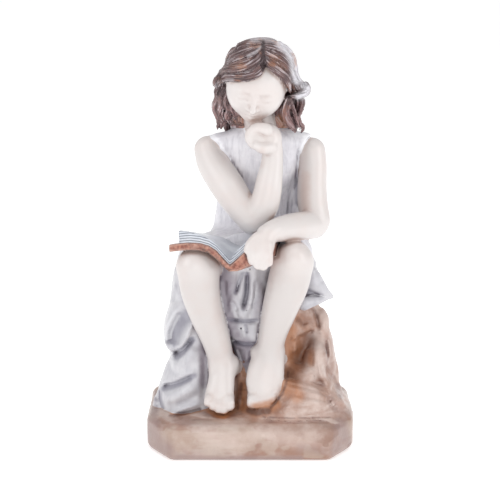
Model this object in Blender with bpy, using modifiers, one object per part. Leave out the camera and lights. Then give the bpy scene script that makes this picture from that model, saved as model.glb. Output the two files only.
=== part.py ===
"""Resin statue of a young woman who sits on a rock and reads a book, cast in one with its base.

Sizes are in millimetres and are scaled to metres when a shape is made. +Z is up and the
figure faces -Y. Each region is made of simple bodies, fused, given its folds, and then all
regions are fused into the one casting."""

import math

import bmesh
import bpy
import numpy as np
from mathutils import Matrix, Vector

MM = 0.001

# ---- base and rock
BASE_W, BASE_D, BASE_H = 151.5, 119.5, 26.6
BASE_Y = 2.0
CHAMFER_X, CHAMFER_Y = 17.0, 26.0
BASE_EDGE_R = 5.0
ROCK_SECTIONS = (  # x, y, z, half width, half depth
    (6, 16, 12, 66, 40), (8, 16, 40, 59, 37), (9, 15, 62, 53, 34), (8, 15, 84, 47, 32),
    (6, 18, 104, 43, 33), (4, 22, 122, 39, 32), (4, 25, 136, 35, 29))
RIGHT_ROCK_SECTIONS = ((30, -3, 20, 47, 50), (31, -1, 27, 45, 47), (33, 4, 36, 37, 35), (34, 9, 47, 28, 24))
CRAG_MM = 2.2

# ---- figure: joints and girths
SHOULDER_R, ELBOW_R, WRIST_R = (-30.6, 4, 217.4), (-0.7, -26, 173.1), (16.0, -24, 221.7)
SHOULDER_L, ELBOW_L, WRIST_L = (45.1, 6, 215.9), (48.1, -8, 167.4), (11.9, -55, 166.8)
HIP_R, KNEE_R, ANKLE_R = (-17, 34, 138), (-36.2, -42, 140.6), (-20.5, -26, 62.0)
HIP_L, KNEE_L, ANKLE_L = (22, 34, 139), (30.5, -42, 144.2), (14.0, -27, 69.0)
UPPER_ARM_R, FOREARM_R, UPPER_ARM_L, FOREARM_L, WRIST = 12.2, 10.7, 10.9, 10.3, 7.3
THIGH, KNEE, ANKLE = 13.5, 15.2, 9.4
SHIN_R = ((0.22, -1.3, -0.6, 14.6), (0.46, -1.3, 0.6, 12.7), (0.72, -0.2, 1.5, 10.6), (0.90, 0.2, 1.6, 9.6))  # share of the shin, bow in x and y, girth
SHIN_L = ((0.22, 0.2, -1.3, 14.8), (0.46, -0.8, 0.0, 13.0), (0.72, -1.4, 1.1, 10.3), (0.89, -0.8, 1.7, 9.7))
FOOT_R = ((-20.5, -26, 63.4, 9.4, 8.8), (-20.8, -31, 52.7, 9.6, 7.8), (-22.3, -35, 43.3, 10.4, 6.4), (-23.0, -37, 38.6, 10.4, 4.8))
FOOT_L = ((14.6, -26, 72.5, 11.0, 9.4), (12.3, -29, 62.8, 13.0, 9.0), (10.8, -32, 53.0, 13.8, 8.0), (9.7, -35, 45.6, 12.4, 6.4), (7.7, -37, 39.4, 9.6, 4.8))
TOE_R, TOE_L, TOE_STEP = (-18.2, -37, 38.9), (1.7, -37, 41.8), 3.1
NECK_BASE, NECK = (8.8, 5, 224), 11.5

# ---- head, in its own frame: the face looks along -y
HEAD_AT, HEAD_SIZE = (5.0, -22.0, 271.0), 0.90
HEAD_NOD, HEAD_LEAN = 35.0, 9.0

# ---- torso and dress
TORSO_SECTIONS = (
    (3.8, 33, 143, 31, 21), (4.0, 33, 153, 31.5, 22), (4.8, 29, 168, 29.8, 19.5),
    (6.6, 22, 186, 29.6, 18.3), (6.8, 15, 202, 30.5, 18), (7.5, 9, 214, 31, 15), (8.5, 7, 224, 24, 11))
DRAPE_SECTIONS = (
    (-35, 6, 142, 20, 26), (-38, 5, 118, 20, 27), (-40, 3, 97, 20, 27), (-42.5, 1, 80, 21, 27),
    (-40, -1, 64, 19, 26), (-41.5, -2, 50, 21.5, 27), (-42.5, -3, 38, 25, 28), (-43, -3, 28, 27.7, 29), (-43, -3, 20, 28, 29))
MIDDLE_SECTIONS = (
    (-1, -16, 142, 24, 18), (-1, -14, 120, 20, 15), (0, -12, 96, 16, 13), (1, -8, 70, 13, 11), (1, -4, 44, 12, 10))
SIDE_SECTIONS = ((28, 4, 144, 12, 24), (33, 4, 136, 12.5, 24), (38.5, 2, 126, 12.5, 22), (42, 0, 118, 11.5, 18), (42, 0, 113, 9, 15))

# ---- book: s across, t away from the reader's knees, n up out of the pages
BOOK_AT, BOOK_DEPTH = (-14.3, -61.0, 142.8), 42.0
BOOK_ALONG = (0.17, 0.975, -0.175)
PAGES_LEFT, PAGES_RIGHT = -37.6, 27.0
COVER_LEFT, COVER_RIGHT = -43.4, 30.0
COVER_MARGIN = 1.8

# ---- mesh
VOXEL_MM = 1.5
TRIANGLES = 9700

for old in list(bpy.data.objects):
    bpy.data.objects.remove(old)
model = bpy.data.collections.new("reading_woman")
bpy.context.scene.collection.children.link(model)
guides = bpy.data.collections.new("guides")
bpy.context.scene.collection.children.link(guides)
pieces = {}


def turn(ax=0.0, ay=0.0, az=0.0):
    m = Matrix.Rotation(math.radians(az), 3, "Z") @ Matrix.Rotation(math.radians(ay), 3, "Y")
    return np.array(m @ Matrix.Rotation(math.radians(ax), 3, "X"))


HEAD_TURN = turn(ay=HEAD_LEAN) @ turn(ax=HEAD_NOD)


def head(x, y, z):
    """A point given in the head's own frame."""
    return tuple(np.array(HEAD_AT) + HEAD_TURN @ (np.array((x, y, z), float) * HEAD_SIZE))


def keep(region, obj):
    guides.objects.link(obj)
    obj.hide_render = True
    pieces.setdefault(region, []).append(obj)
    return obj


def ball(region, centre, radii, around=None):
    """An ellipsoid."""
    shape = bmesh.new()
    bmesh.ops.create_icosphere(shape, subdivisions=4, radius=1.0)
    mesh = bpy.data.meshes.new(region + "_ball")
    shape.to_mesh(mesh)
    shape.free()
    obj = bpy.data.objects.new(region + "_ball", mesh)
    spin = Matrix((around if around is not None else np.eye(3)).tolist()).to_4x4()
    size = Matrix.Diagonal(Vector([r * MM for r in radii] + [1.0]))
    obj.matrix_world = Matrix.Translation(Vector(centre) * MM) @ spin @ size
    return keep(region, obj)


def head_ball(region, centre, radii):
    return ball(region, head(*centre), [r * HEAD_SIZE for r in radii], HEAD_TURN)


def smooth_path(rows, steps):
    """Catmull-Rom through the rows."""
    rows = np.asarray(rows, float)
    ends = np.vstack([2 * rows[0] - rows[1], rows, 2 * rows[-1] - rows[-2]])
    out = []
    for i in range(len(rows) - 1):
        a, b, c, d = ends[i:i + 4]
        for t in np.arange(steps) / steps:
            out.append(0.5 * (2 * b + (c - a) * t + (2 * a - 5 * b + 4 * c - d) * t**2 + (3 * b - a - 3 * c + d) * t**3))
    return np.array(out + [rows[-1]])


def limb(region, rows, steps=4):
    """A round limb through rows of x, y, z, radius: a bevelled curve with a ball at each end."""
    path = smooth_path(rows, steps)
    curve = bpy.data.curves.new(region + "_limb", "CURVE")
    curve.dimensions = "3D"
    curve.bevel_depth = MM
    curve.bevel_resolution = 6
    curve.use_fill_caps = True
    line = curve.splines.new("POLY")
    line.points.add(len(path) - 1)
    for point, (x, y, z, r) in zip(line.points, path):
        point.co = (x * MM, y * MM, z * MM, 1.0)
        point.radius = r
    keep(region, bpy.data.objects.new(region + "_limb", curve))
    for x, y, z, r in (rows[0], rows[-1]):
        ball(region, (x, y, z), (r, r, r))


def loft(region, rows, across=(0, 1, 0), steps=3, sides=40):
    """Elliptical sections of x, y, z, half width, half depth, skinned and capped; half depth lies along across."""
    path = smooth_path(rows, steps)
    shape = bmesh.new()
    rings = []
    for i, (x, y, z, a, b) in enumerate(path):
        along = path[min(i + 1, len(path) - 1), :3] - path[max(i - 1, 0), :3]
        side = np.cross(along, across)
        side /= np.linalg.norm(side)
        depth = np.cross(side, along)
        depth /= np.linalg.norm(depth)
        rings.append([
            shape.verts.new(Vector(np.array((x, y, z)) + side * a * math.cos(u) + depth * b * math.sin(u)) * MM)
            for u in np.arange(sides) * 2 * math.pi / sides])
    for one, two in zip(rings, rings[1:]):
        for i in range(sides):
            j = (i + 1) % sides
            shape.faces.new((one[i], one[j], two[j], two[i]))
    shape.faces.new(rings[0][::-1])
    shape.faces.new(rings[-1])
    bmesh.ops.recalc_face_normals(shape, faces=shape.faces)
    mesh = bpy.data.meshes.new(region + "_loft")
    shape.to_mesh(mesh)
    shape.free()
    return keep(region, bpy.data.objects.new(region + "_loft", mesh))


def mesh_of(obj):
    """(points in mm, triangles) of the object with its modifiers."""
    bpy.context.view_layer.update()
    seen = obj.evaluated_get(bpy.context.evaluated_depsgraph_get())
    mesh = seen.to_mesh()
    mesh.calc_loop_triangles()
    points = np.array([v.co for v in mesh.vertices]) if len(mesh.vertices) else np.zeros((0, 3))
    faces = np.array([t.vertices for t in mesh.loop_triangles])
    seen.to_mesh_clear()
    world = np.array(obj.matrix_world)
    return (points @ world[:3, :3].T + world[:3, 3]) / MM, faces


def object_of(name, points, faces):
    mesh = bpy.data.meshes.new(name)
    mesh.from_pydata((points * MM).tolist(), [], faces.tolist())
    mesh.update()
    return bpy.data.objects.new(name, mesh)


def fuse(region, voxel=VOXEL_MM):
    """Joins a region's bodies and skins them as one closed surface."""
    points, faces, count = [], [], 0
    for obj in pieces[region]:
        p, f = mesh_of(obj)
        points.append(p)
        faces.append(f + count)
        count += len(p)
        bpy.data.objects.remove(obj)
    del pieces[region]
    obj = object_of(region, np.vstack(points), np.vstack(faces))
    guides.objects.link(obj)
    remesh = obj.modifiers.new("skin", "REMESH")
    remesh.mode = "VOXEL"
    remesh.voxel_size = voxel * MM
    relax = obj.modifiers.new("blend", "SMOOTH")
    relax.factor, relax.iterations = 0.5, 4
    points, faces = mesh_of(obj)
    bpy.data.objects.remove(obj)
    return points, faces


def normals_of(points, faces):
    n = np.cross(points[faces[:, 1]] - points[faces[:, 0]], points[faces[:, 2]] - points[faces[:, 0]])
    out = np.zeros_like(points)
    for k in range(3):
        np.add.at(out, faces[:, k], n)
    return out / np.maximum(np.linalg.norm(out, axis=1, keepdims=True), 1e-9)


def step(a, b, x):
    t = np.clip((x - a) / (b - a), 0, 1)
    return t * t * (3 - 2 * t)


def fold(points, normals, line, width, height, back=0.0):
    """Raises (height > 0) or sinks the front of a region along a line given in x, z."""
    path = smooth_path(line, 4)
    a, d = path[:-1], path[1:] - path[:-1]
    rel = points[:, None][:, :, [0, 2]] - a[None]
    t = np.clip((rel * d).sum(2) / (d**2).sum(1), 0, 1)
    gap = np.sqrt((((rel - d * t[..., None]) ** 2).sum(2)))
    near = gap.argmin(1)
    rows = np.arange(len(points))
    along = (near + t[rows, near]) / len(a)
    amount = height * step(0, 0.18, along) * step(0, 0.18, 1 - along) * np.exp(-((gap[rows, near] / width) ** 2))
    amount *= step(back + 4, back - 4, points[:, 1]) * step(0.1, -0.5, normals[:, 1])
    points += normals * amount[:, None]


def waves(q, seed, size):
    """Smooth noise in about -1 to 1."""
    rng = np.random.RandomState(seed)
    total = np.zeros(len(q))
    for i in range(5):
        one, two = rng.normal(size=(2, 3))
        one, two = one / np.linalg.norm(one), two / np.linalg.norm(two)
        rate = 2 * math.pi / (size * (0.55 + 0.25 * i))
        total += np.sin(q @ one * rate + rng.uniform(0, 6.28) + 1.3 * np.sin(q @ two * rate * 0.6 + rng.uniform(0, 6.28))) / (1 + 0.45 * i)
    return total / 2.6


def between(a, b, t, lift=(0, 0, 0)):
    return tuple(np.array(a) * (1 - t) + np.array(b) * t + np.array(lift))


# ================= bare skin: arms, hands, legs, feet, neck and face
def arms():
    along = lambda a, b, rows: [(*between(a, b, t, lift), r) for t, lift, r in rows]
    limb("skin", along(SHOULDER_R, ELBOW_R, (
        (0, (0, 0, 0), UPPER_ARM_R - 2.2), (0.2, (-1.9, 0, -1.2), UPPER_ARM_R - 0.7), (0.55, (-1.8, -1.5, 0.4), UPPER_ARM_R),
        (0.82, (-0.4, -1.4, -0.4), UPPER_ARM_R - 1.2), (1, (0, 0, 0), FOREARM_R - 1.1))))
    limb("skin", along(ELBOW_R, WRIST_R, (
        (0, (3.6, 0, -1.5), FOREARM_R - 0.9), (0.15, (7.0, -1.3, -0.5), FOREARM_R), (0.35, (7.0, -1.7, -0.4), FOREARM_R - 0.5),
        (0.57, (5.0, -1.6, -0.3), FOREARM_R - 1.4), (0.8, (2.9, -0.6, 0), FOREARM_R - 2.8), (1, (0, 0, 0), WRIST))))
    limb("skin", along(SHOULDER_L, ELBOW_L, (
        (0, (0, 0, 0), UPPER_ARM_L - 1.0), (0.22, (0, 1, 0), UPPER_ARM_L - 0.7), (0.54, (-1.4, 1.6, 0), UPPER_ARM_L - 0.2),
        (0.8, (-1.5, 0.8, 0), UPPER_ARM_L), (1, (0, 0, 0), UPPER_ARM_L - 0.5))))
    limb("skin", along(ELBOW_L, WRIST_L, (
        (0, (-1.5, -1, -3.6), FOREARM_L - 0.4), (0.33, (0.4, -0.5, -0.8), FOREARM_L), (0.62, (0.5, -0.9, 1.1), FOREARM_L - 0.7),
        (0.87, (0.2, -1.1, 1.7), FOREARM_L - 2.3), (1, (0, 0, 0), WRIST))))


def hands():
    # right hand: a loose fist below the chin
    ball("skin", (13.8, -25, 230.5), (8.8, 8.6, 10.6), turn(ay=-12))
    ball("skin", (6.7, -26.5, 230.0), (8.2, 8.6, 8.4))
    ball("skin", (4.6, -28.5, 230.7), (6.4, 7.6, 7.0))
    for i in range(4):
        y = -33.5 + 4.6 * i
        rise = 0.23 * (y + 30)
        limb("skin", [(12.0, y, 237.3 + rise, 4.4), (5.6, y, 238.6 + rise, 3.6), (0.4, y, 235.8 + rise, 3.4), (-0.3, y, 230.5 + rise, 3.3), (2.5, y, 226.6 + rise, 3.0)])
    limb("skin", [(14.8, -31, 225.0, 4.6), (9.1, -35, 224.8, 4.0), (4.6, -36.5, 226.9, 3.2)])
    # left hand: laid over the book's right side, fingers down
    ball("skin", (7.6, -61, 160.4), (9.4, 5.4, 9.5), turn(ax=-18))
    limb("skin", [(*WRIST_L, WRIST + 0.3), (8.7, -60, 160.8, 7.4), (7.6, -62, 157.0, 6.8)])
    for i in range(4):
        x, tip = 1.4 + 3.55 * i, (149.8, 146.8, 146.1, 148.8)[i]
        limb("skin", [(x, -63, 160.0, 4.2), (x + 0.2, -66, 153.6, 3.8), (x + 0.7, -65, tip, 3.4)])
    limb("skin", [(5.6, -60, 165.8, 4.2), (0.7, -63, 162.6, 3.4), (-1.7, -65, 158.4, 2.8)])


def legs():
    for hip, knee, ankle, shin in ((HIP_R, KNEE_R, ANKLE_R, SHIN_R), (HIP_L, KNEE_L, ANKLE_L, SHIN_L)):
        limb("skin", [(*hip, THIGH), (*between(hip, knee, 0.40, (0, 0, 1)), THIGH), (*knee, KNEE - 0.2)])
        limb("skin", [(*knee, KNEE)] + [(*between(knee, ankle, t, (x, y, 0)), r) for t, x, y, r in shin] + [(*ankle, ANKLE)])
    ball("skin", (-40.3, -46, 143.0), (10.5, 9, 11))
    ball("skin", (31.0, -50, 148.4), (9, 7.5, 9.5))
    ball("skin", (-31.9, -26, 108.9), (11.5, 10, 20), turn(ay=-8))
    ball("skin", (23.9, -27, 112.2), (10.5, 10, 20), turn(ay=12))


def feet():
    for ankle, sections, toe, outward in ((ANKLE_R, FOOT_R, TOE_R, -1), (ANKLE_L, FOOT_L, TOE_L, 1)):
        x, y, z = ankle
        loft("skin", sections, across=(0, -0.8, 0.6))
        limb("skin", [(x + 9.5, y + 13, z - 1, 5.4), (x + 4, y + 4, z - 3, 8.0)])
        for i in range(5):
            r = (3.6, 2.9, 2.7, 2.5, 2.4)[i]
            at = (toe[0] + outward * TOE_STEP * i, toe[1], toe[2] + 0.25 * i * i)
            limb("skin", [(*at, r), (*between(at, at, 0, (0, -3.6, -3.0)), r), (*between(at, at, 0, (0.2 * i * outward, -4.2, -6.6)), r * 0.95)])
        for side in (-1, 1):
            ball("skin", (x + side * 8.2, y + 1, z + 3.0), (4, 4, 4.5))


def face():
    limb("skin", [(*NECK_BASE, NECK), (*head(0, 7, -14), NECK - 0.8)])
    head_ball("skin", (0, 3, 7), (24.6, 25.5, 21.5))
    head_ball("skin", (0, -5, -6), (23.2, 18, 22))
    head_ball("skin", (0, -8, -16), (16.5, 12.5, 12))
    head_ball("skin", (0, -14.8, -23.5), (6.5, 5.5, 5.5))
    for side in (-1, 1):
        head_ball("skin", (side * 10.5, -13.5, -9), (7.5, 6.5, 7.5))
        head_ball("skin", (side * 8.6, -17.6, -0.4), (5.2, 4.4, 3.6))
        head_ball("skin", (side * 22.6, 1.5, -3), (2.2, 4.2, 6.5))
    limb("skin", [(*head(0, -21, 4), 1.6), (*head(0, -23.6, -4), 1.7), (*head(0, -26, -9.2), 2.3)])
    for z, reach in ((-16.4, -20.6), (-19.6, -20.4)):
        limb("skin", [(*head(-4.6, reach + 2, z), 0.9), (*head(0, reach, z), 1.6), (*head(4.6, reach + 2, z), 0.9)])


# ================= dress
def dress():
    loft("dress", TORSO_SECTIONS)
    for tip in ((-23, 5, 221), (40, 7, 221)):
        limb("dress", [(8.8, 7, 226, 9.4), (*between((8.8, 7, 226), tip, 0.5, (0, 0, -0.8)), 9.2), (*tip, 8.4)])
    limb("dress", [(-17, 34, 138, 15.0), (-25, 4, 141, 15.5), (-31.5, -20, 141, 16.0)])
    limb("dress", [(22, 34, 140, 16.0), (27, 4, 142, 15.5), (29.5, -24, 146, 15.8)])
    ball("dress", (2, 2, 141), (34, 34, 16))
    ball("dress", (3.5, 28, 143), (34, 27, 19))
    ball("dress", (36.5, 14, 190), (4.6, 8, 18))
    ball("dress", (35.2, 17, 174), (5.6, 9, 16))
    ball("dress", (7, 8, 203), (25, 13.6, 17))
    loft("dress", DRAPE_SECTIONS)
    limb("dress", [(-53.6, -4, 50.1, 9.0), (-56.6, -6, 39.7, 9.5), (-59.6, -8, 29.4, 9.5), (-61.4, -10, 23.0, 8.5)])
    loft("dress", MIDDLE_SECTIONS)
    # the swag that hangs between the shins
    for x, bulge in ((-13.3, 1.0), (0.9, -1.0)):
        limb("dress", [(x, -30.5, 130.0, 5.0), (x - 0.2 * bulge, -30, 122.0, 4.7), (x + 1.8 * bulge, -29, 114.0, 4.2), (x + 4.4 * bulge, -28, 107.5, 3.4), (-5.4, -27.5, 102.6, 3.0)])
    loft("dress", SIDE_SECTIONS)
    limb("dress", [(45.3, -14, 124.5, 6.0), (50.6, -12, 116.8, 5.2), (55.9, -10, 112.5, 3.3), (60.5, -8, 109.9, 1.4)])
    limb("dress", [(38.9, -22, 107.6, 4.8), (44.5, -18, 108.5, 4.0), (50.1, -14, 109.2, 3.0), (56.8, -9, 109.8, 1.4)])


DRESS_FOLDS = (  # line in x, z; width; height (negative for a valley); furthest back it reaches
    (((-48, 119), (-57, 107), (-62, 96), (-60, 85), (-55, 80)), 4.2, 3.4, 10),
    (((-47, 112), (-52, 101), (-56, 91)), 4.0, -3.2, 10),
    (((-41, 108), (-45, 96), (-51, 85), (-57, 79)), 3.6, 3.0, 0),
    (((-40, 90), (-46, 81), (-52, 75), (-60, 76), (-66, 78)), 2.4, -4.2, 10),
    (((-40, 83), (-45, 73), (-54, 67), (-64, 60)), 4.6, 2.6, 8),
    (((-39, 72), (-44, 61), (-54, 53), (-64, 48)), 4.0, -2.8, 8),
    (((-37, 58), (-47, 49), (-59, 46), (-67, 42)), 3.6, 1.8, 8),
        (((-1.8, 132), (-2.0, 118), (-4.6, 107)), 2.0, -3.0, 0),
    (((-17, 100), (-5, 99), (6, 100)), 2.0, -2.6, 0),
    (((41, 112), (50, 111), (60, 111)), 2.2, -2.4, 12))


# ================= book
def sheet_height(s, foot, rise, left, right, power=1.0):
    """The open book's rise away from its gutter."""
    length = left if s < 0 else right
    return foot + rise * (1 - math.exp(-((abs(s) / length) ** power)))


def book():
    origin, along = np.array(BOOK_AT), np.array(BOOK_ALONG) / np.linalg.norm(BOOK_ALONG)
    across = np.cross(along, (0, 0, 1.0))
    across /= np.linalg.norm(across)
    up = np.cross(across, along)

    def slab(low, high, left, right, near, far):
        shape = bmesh.new()
        rings = []
        for s in np.linspace(left, right, 40):
            corners = [(near, low(s)), (near, high(s, 0)), (far, high(s, 1)), (far, low(s))]
            rings.append([shape.verts.new(Vector(origin + across * s + along * t + up * n) * MM) for t, n in corners])
        for one, two in zip(rings, rings[1:]):
            for i in range(4):
                shape.faces.new((one[i], one[(i + 1) % 4], two[(i + 1) % 4], two[i]))
        shape.faces.new(rings[0][::-1])
        shape.faces.new(rings[-1])
        bmesh.ops.recalc_face_normals(shape, faces=shape.faces)
        mesh = bpy.data.meshes.new("book_slab")
        shape.to_mesh(mesh)
        shape.free()
        keep("book", bpy.data.objects.new("book_slab", mesh))

    def below(s):
        return sheet_height(s, -0.6, 15.4 if s < 0 else 13.0, 10.5, 22.0, 1.3 if s < 0 else 2.0)

    def under(s):
        return sheet_height(s, 3.7, 15.8 if s < 0 else 17.5, 11.0, 13.0)

    def top(s, far):
        near_side = sheet_height(s, 7.4, 21.0 if s < 0 else 20.0, 11.0, 9.5)
        return near_side + far * (9.0 * math.exp(-((s / 9.0) ** 2)) - 0.6)

    slab(below, lambda s, far: under(s) + 0.4, COVER_LEFT, COVER_RIGHT, -COVER_MARGIN, BOOK_DEPTH + COVER_MARGIN)
    slab(under, top, PAGES_LEFT, PAGES_RIGHT, 0.0, BOOK_DEPTH)


# ================= hair
HAIR_CAP_AT, HAIR_CAP = (0, 5, 7.6), (25.0, 27.0, 21.8)


def on_skull(around, above, proud):
    """A point on the cap of hair, by its angles from the brow, in degrees."""
    u, v = math.radians(around), math.radians(above)
    r = np.array(HAIR_CAP) + proud
    way = np.array((math.cos(v) * math.sin(u), -math.cos(v) * math.cos(u), math.sin(v)))
    return head(*(np.array(HAIR_CAP_AT) + r * way))


def hair():
    head_ball("cap", HAIR_CAP_AT, HAIR_CAP)
    points, faces = fuse("cap", 1.2)
    cap = object_of("cap", points, faces)
    keep("hair", cap)
    opening = head_ball("cut", (0, -24, -9), (22.5, 21, 24))
    opening.display_type = "WIRE"
    pieces.pop("cut")
    cut = cap.modifiers.new("face opening", "BOOLEAN")
    cut.operation, cut.solver, cut.object = "DIFFERENCE", "EXACT", opening
    for side, count in ((-1, 7), (1, 6)):
        for i in range(count):
            # locks that sweep from the parting over the brow to the side, each above the last
            limb("hair", [
                (*on_skull(side * 3, 31 + 7.5 * i, -1.0), 2.8), (*on_skull(side * 26, 16 + 9 * i, 0.4), 3.3),
                (*on_skull(side * 56, 3 + 10 * i, 0.6), 3.3), (*on_skull(side * 86, -12 + 11 * i, 0.2), 3.0)])
        # the flick that stands off above each ear
        limb("hair", [
            (*on_skull(side * 72, -4, 0.5), 3.2), (*on_skull(side * 76, -16, 3.5), 3.3), (*on_skull(side * 80, -20, 7.5), 2.2)])
    # what fills each side between the locks and the neck
    for x, z in ((-18.0, 270), (28.0, 266)):
        limb("hair", [(x, -8, z, 6.5), (x, -2, z - 12, 7.0), (x + 1, 3, z - 24, 7.0), (x + 1, 6, 234, 5.5)])
    for k, (x, y, z, dx) in enumerate(((-22, -13, 270, 1.0), (-19.5, -13, 266, 1.6), (-16, -13, 260, 2.4), (30.0, -18, 265, 3.0), (32, -14, 264, 3.0), (26, -13, 258, 4.5))):
        limb("hair", [
            (x, y, z, 3.8), (x - dx * 0.6, y + 5, z - 11, 4.0), (x + dx * 0.5, y + 9, z - 21, 3.9),
            (x - dx * 0.3, y + 13, z - 29, 3.5), (x + dx * 0.8, y + 16, 231.5, 2.8)])
    loft("hair", [(*head(0, 13, -2), 21.5, 13), (*head(0, 17, -13), 22.5, 12), (6.5, 5, 240, 24, 10), (7, 9, 230, 22, 6.5)], across=(0, 1, 0.2))
    for i in range(11):
        x = -22 + 4.4 * i
        bow = math.sqrt(1 - (x / 30) ** 2)
        sway = 1.6 * math.sin(1.9 * i)
        limb("hair", [
            (*head(x * 0.18, 5, 27.6), 2.8), (*head(x * 0.62, 17, 24.0 * bow * bow + 1), 3.9), (*head(x * 0.95, 26 * bow + 2, 9), 4.0),
            (*head(x * 1.06, 27.5 * bow + 1, -8), 4.0), (6 + x * 1.02 + sway, 14 * bow + 2.5, 244, 4.0),
            (6.5 + x * 1.05 - sway, 15 * bow + 3.5, 233, 3.6), (7 + x * 1.02 + 0.7 * sway, 15 * bow + 5.0, 223 + 3 * math.cos(3.8 * i), 2.6)])


# ================= base and rock
def base():
    hx, hy = BASE_W / 2, BASE_D / 2
    outline = []
    for sx, sy in ((1, 1), (-1, 1), (-1, -1), (1, -1)):
        corner = [(sx * hx, sy * (hy - CHAMFER_Y)), (sx * (hx - CHAMFER_X), sy * hy)]
        outline += corner if sx * sy > 0 else corner[::-1]
    shape = bmesh.new()
    floor = [shape.verts.new((x * MM, (y + BASE_Y) * MM, -2 * MM)) for x, y in outline]
    face = shape.faces.new(floor)
    raised = bmesh.ops.extrude_face_region(shape, geom=[face])["geom"]
    bmesh.ops.translate(shape, verts=[g for g in raised if isinstance(g, bmesh.types.BMVert)], vec=(0, 0, (BASE_H + 2) * MM))
    bmesh.ops.recalc_face_normals(shape, faces=shape.faces)
    mesh = bpy.data.meshes.new("base_block")
    shape.to_mesh(mesh)
    shape.free()
    block = keep("rock", bpy.data.objects.new("base_block", mesh))
    bevel = block.modifiers.new("rounded edges", "BEVEL")
    bevel.width, bevel.segments, bevel.limit_method = BASE_EDGE_R * MM, 4, "ANGLE"


def rock():
    base()
    loft("rock", ROCK_SECTIONS)
    ball("rock", (0, -30, 22), (46, 18, 9))
    loft("rock", RIGHT_ROCK_SECTIONS)
    ball("rock", (41, 0, 62), (16, 18, 26))
    limb("rock", [
        (49.5, 6, 86.1, 8.5), (48.9, 6, 73.6, 11.5), (49.4, 7, 62.3, 12.8), (51.0, 7, 49.6, 14.3),
        (53.4, 6, 37.3, 15.2), (58.0, 4, 26.8, 14.4), (61.3, 0, 17.9, 13.5)])
    limb("rock", [(45.0, -9, 60.0, 12), (39.5, -18, 47.0, 13), (31.0, -22, 36.0, 11), (21.5, -26, 28.0, 6)])


ROCK_FOLDS = (
    (((39, 77), (41, 70), (40.5, 61), (36, 52)), 5.0, -3.5, 20), (((35, 90), (39, 83)), 3.5, -3.0, 20),
    (((48.5, 76), (48, 66), (50, 54), (55.5, 45), (59.5, 42)), 3.0, 3.0, 20), (((57, 85), (57, 68), (61, 54)), 1.8, -2.2, 20),
    (((31, 82), (29, 70), (30, 58)), 2.2, -1.6, 20))


def crags(points, normals):
    around = np.arctan2(points[:, 1] - 15, points[:, 0] - 6)
    q = np.stack([np.cos(around) * 46, np.sin(around) * 46, points[:, 2] * 0.55], 1)
    amount = step(26, 34, points[:, 2]) * (CRAG_MM * waves(q, 11, 30) + 0.4 * CRAG_MM * waves(q, 12, 13))
    points += normals * amount[:, None]


# ================= the casting
arms()
hands()
legs()
feet()
face()
dress()
book()
hair()
rock()

parts = []
for region in ("skin", "dress", "book", "hair", "rock"):
    points, faces = fuse(region, 1.1 if region in ("book", "hair") else VOXEL_MM)
    if region == "dress":
        for line, width, height, back in DRESS_FOLDS:
            fold(points, normals_of(points, faces), line, width, height, back)
    if region == "rock":
        for line, width, height, back in ROCK_FOLDS:
            fold(points, normals_of(points, faces), line, width, height, back)
        crags(points, normals_of(points, faces))
    parts.append((points, faces))
for obj in list(guides.objects):
    bpy.data.objects.remove(obj)

count, all_points, all_faces = 0, [], []
for points, faces in parts:
    all_points.append(points)
    all_faces.append(faces + count)
    count += len(points)
casting = object_of("casting", np.vstack(all_points), np.vstack(all_faces))
guides.objects.link(casting)
skin = casting.modifiers.new("one surface", "REMESH")
skin.mode, skin.voxel_size = "VOXEL", 1.2 * MM
points, faces = mesh_of(casting)
bpy.data.objects.remove(casting)
middle = (points.min(0) + points.max(0)) / 2
points[:, :2] -= middle[:2]

statue = object_of("reading_woman_statue", points, faces)
model.objects.link(statue)
relax = statue.modifiers.new("soften", "SMOOTH")
relax.factor, relax.iterations = 0.4, 2
thin = statue.modifiers.new("facets", "DECIMATE")
thin.ratio = TRIANGLES / len(faces)
floor_mesh = bpy.data.meshes.new("floor_cutter")
shape = bmesh.new()
bmesh.ops.create_cube(shape, size=1.0, matrix=Matrix.Translation((0, 0, -0.05)) @ Matrix.Diagonal((0.4, 0.4, 0.1, 1)))
shape.to_mesh(floor_mesh)
shape.free()
cutter = bpy.data.objects.new("floor_cutter", floor_mesh)
guides.objects.link(cutter)
cutter.hide_render, cutter.display_type = True, "WIRE"
flat = statue.modifiers.new("flat underside", "BOOLEAN")
flat.operation, flat.solver, flat.object = "DIFFERENCE", "EXACT", cutter

resin = bpy.data.materials.new("painted_resin")
resin.use_nodes = True
shader = resin.node_tree.nodes["Principled BSDF"]
shader.inputs["Base Color"].default_value = (0.62, 0.56, 0.53, 1)
shader.inputs["Roughness"].default_value = 0.35
statue.data.materials.append(resin)
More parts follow.
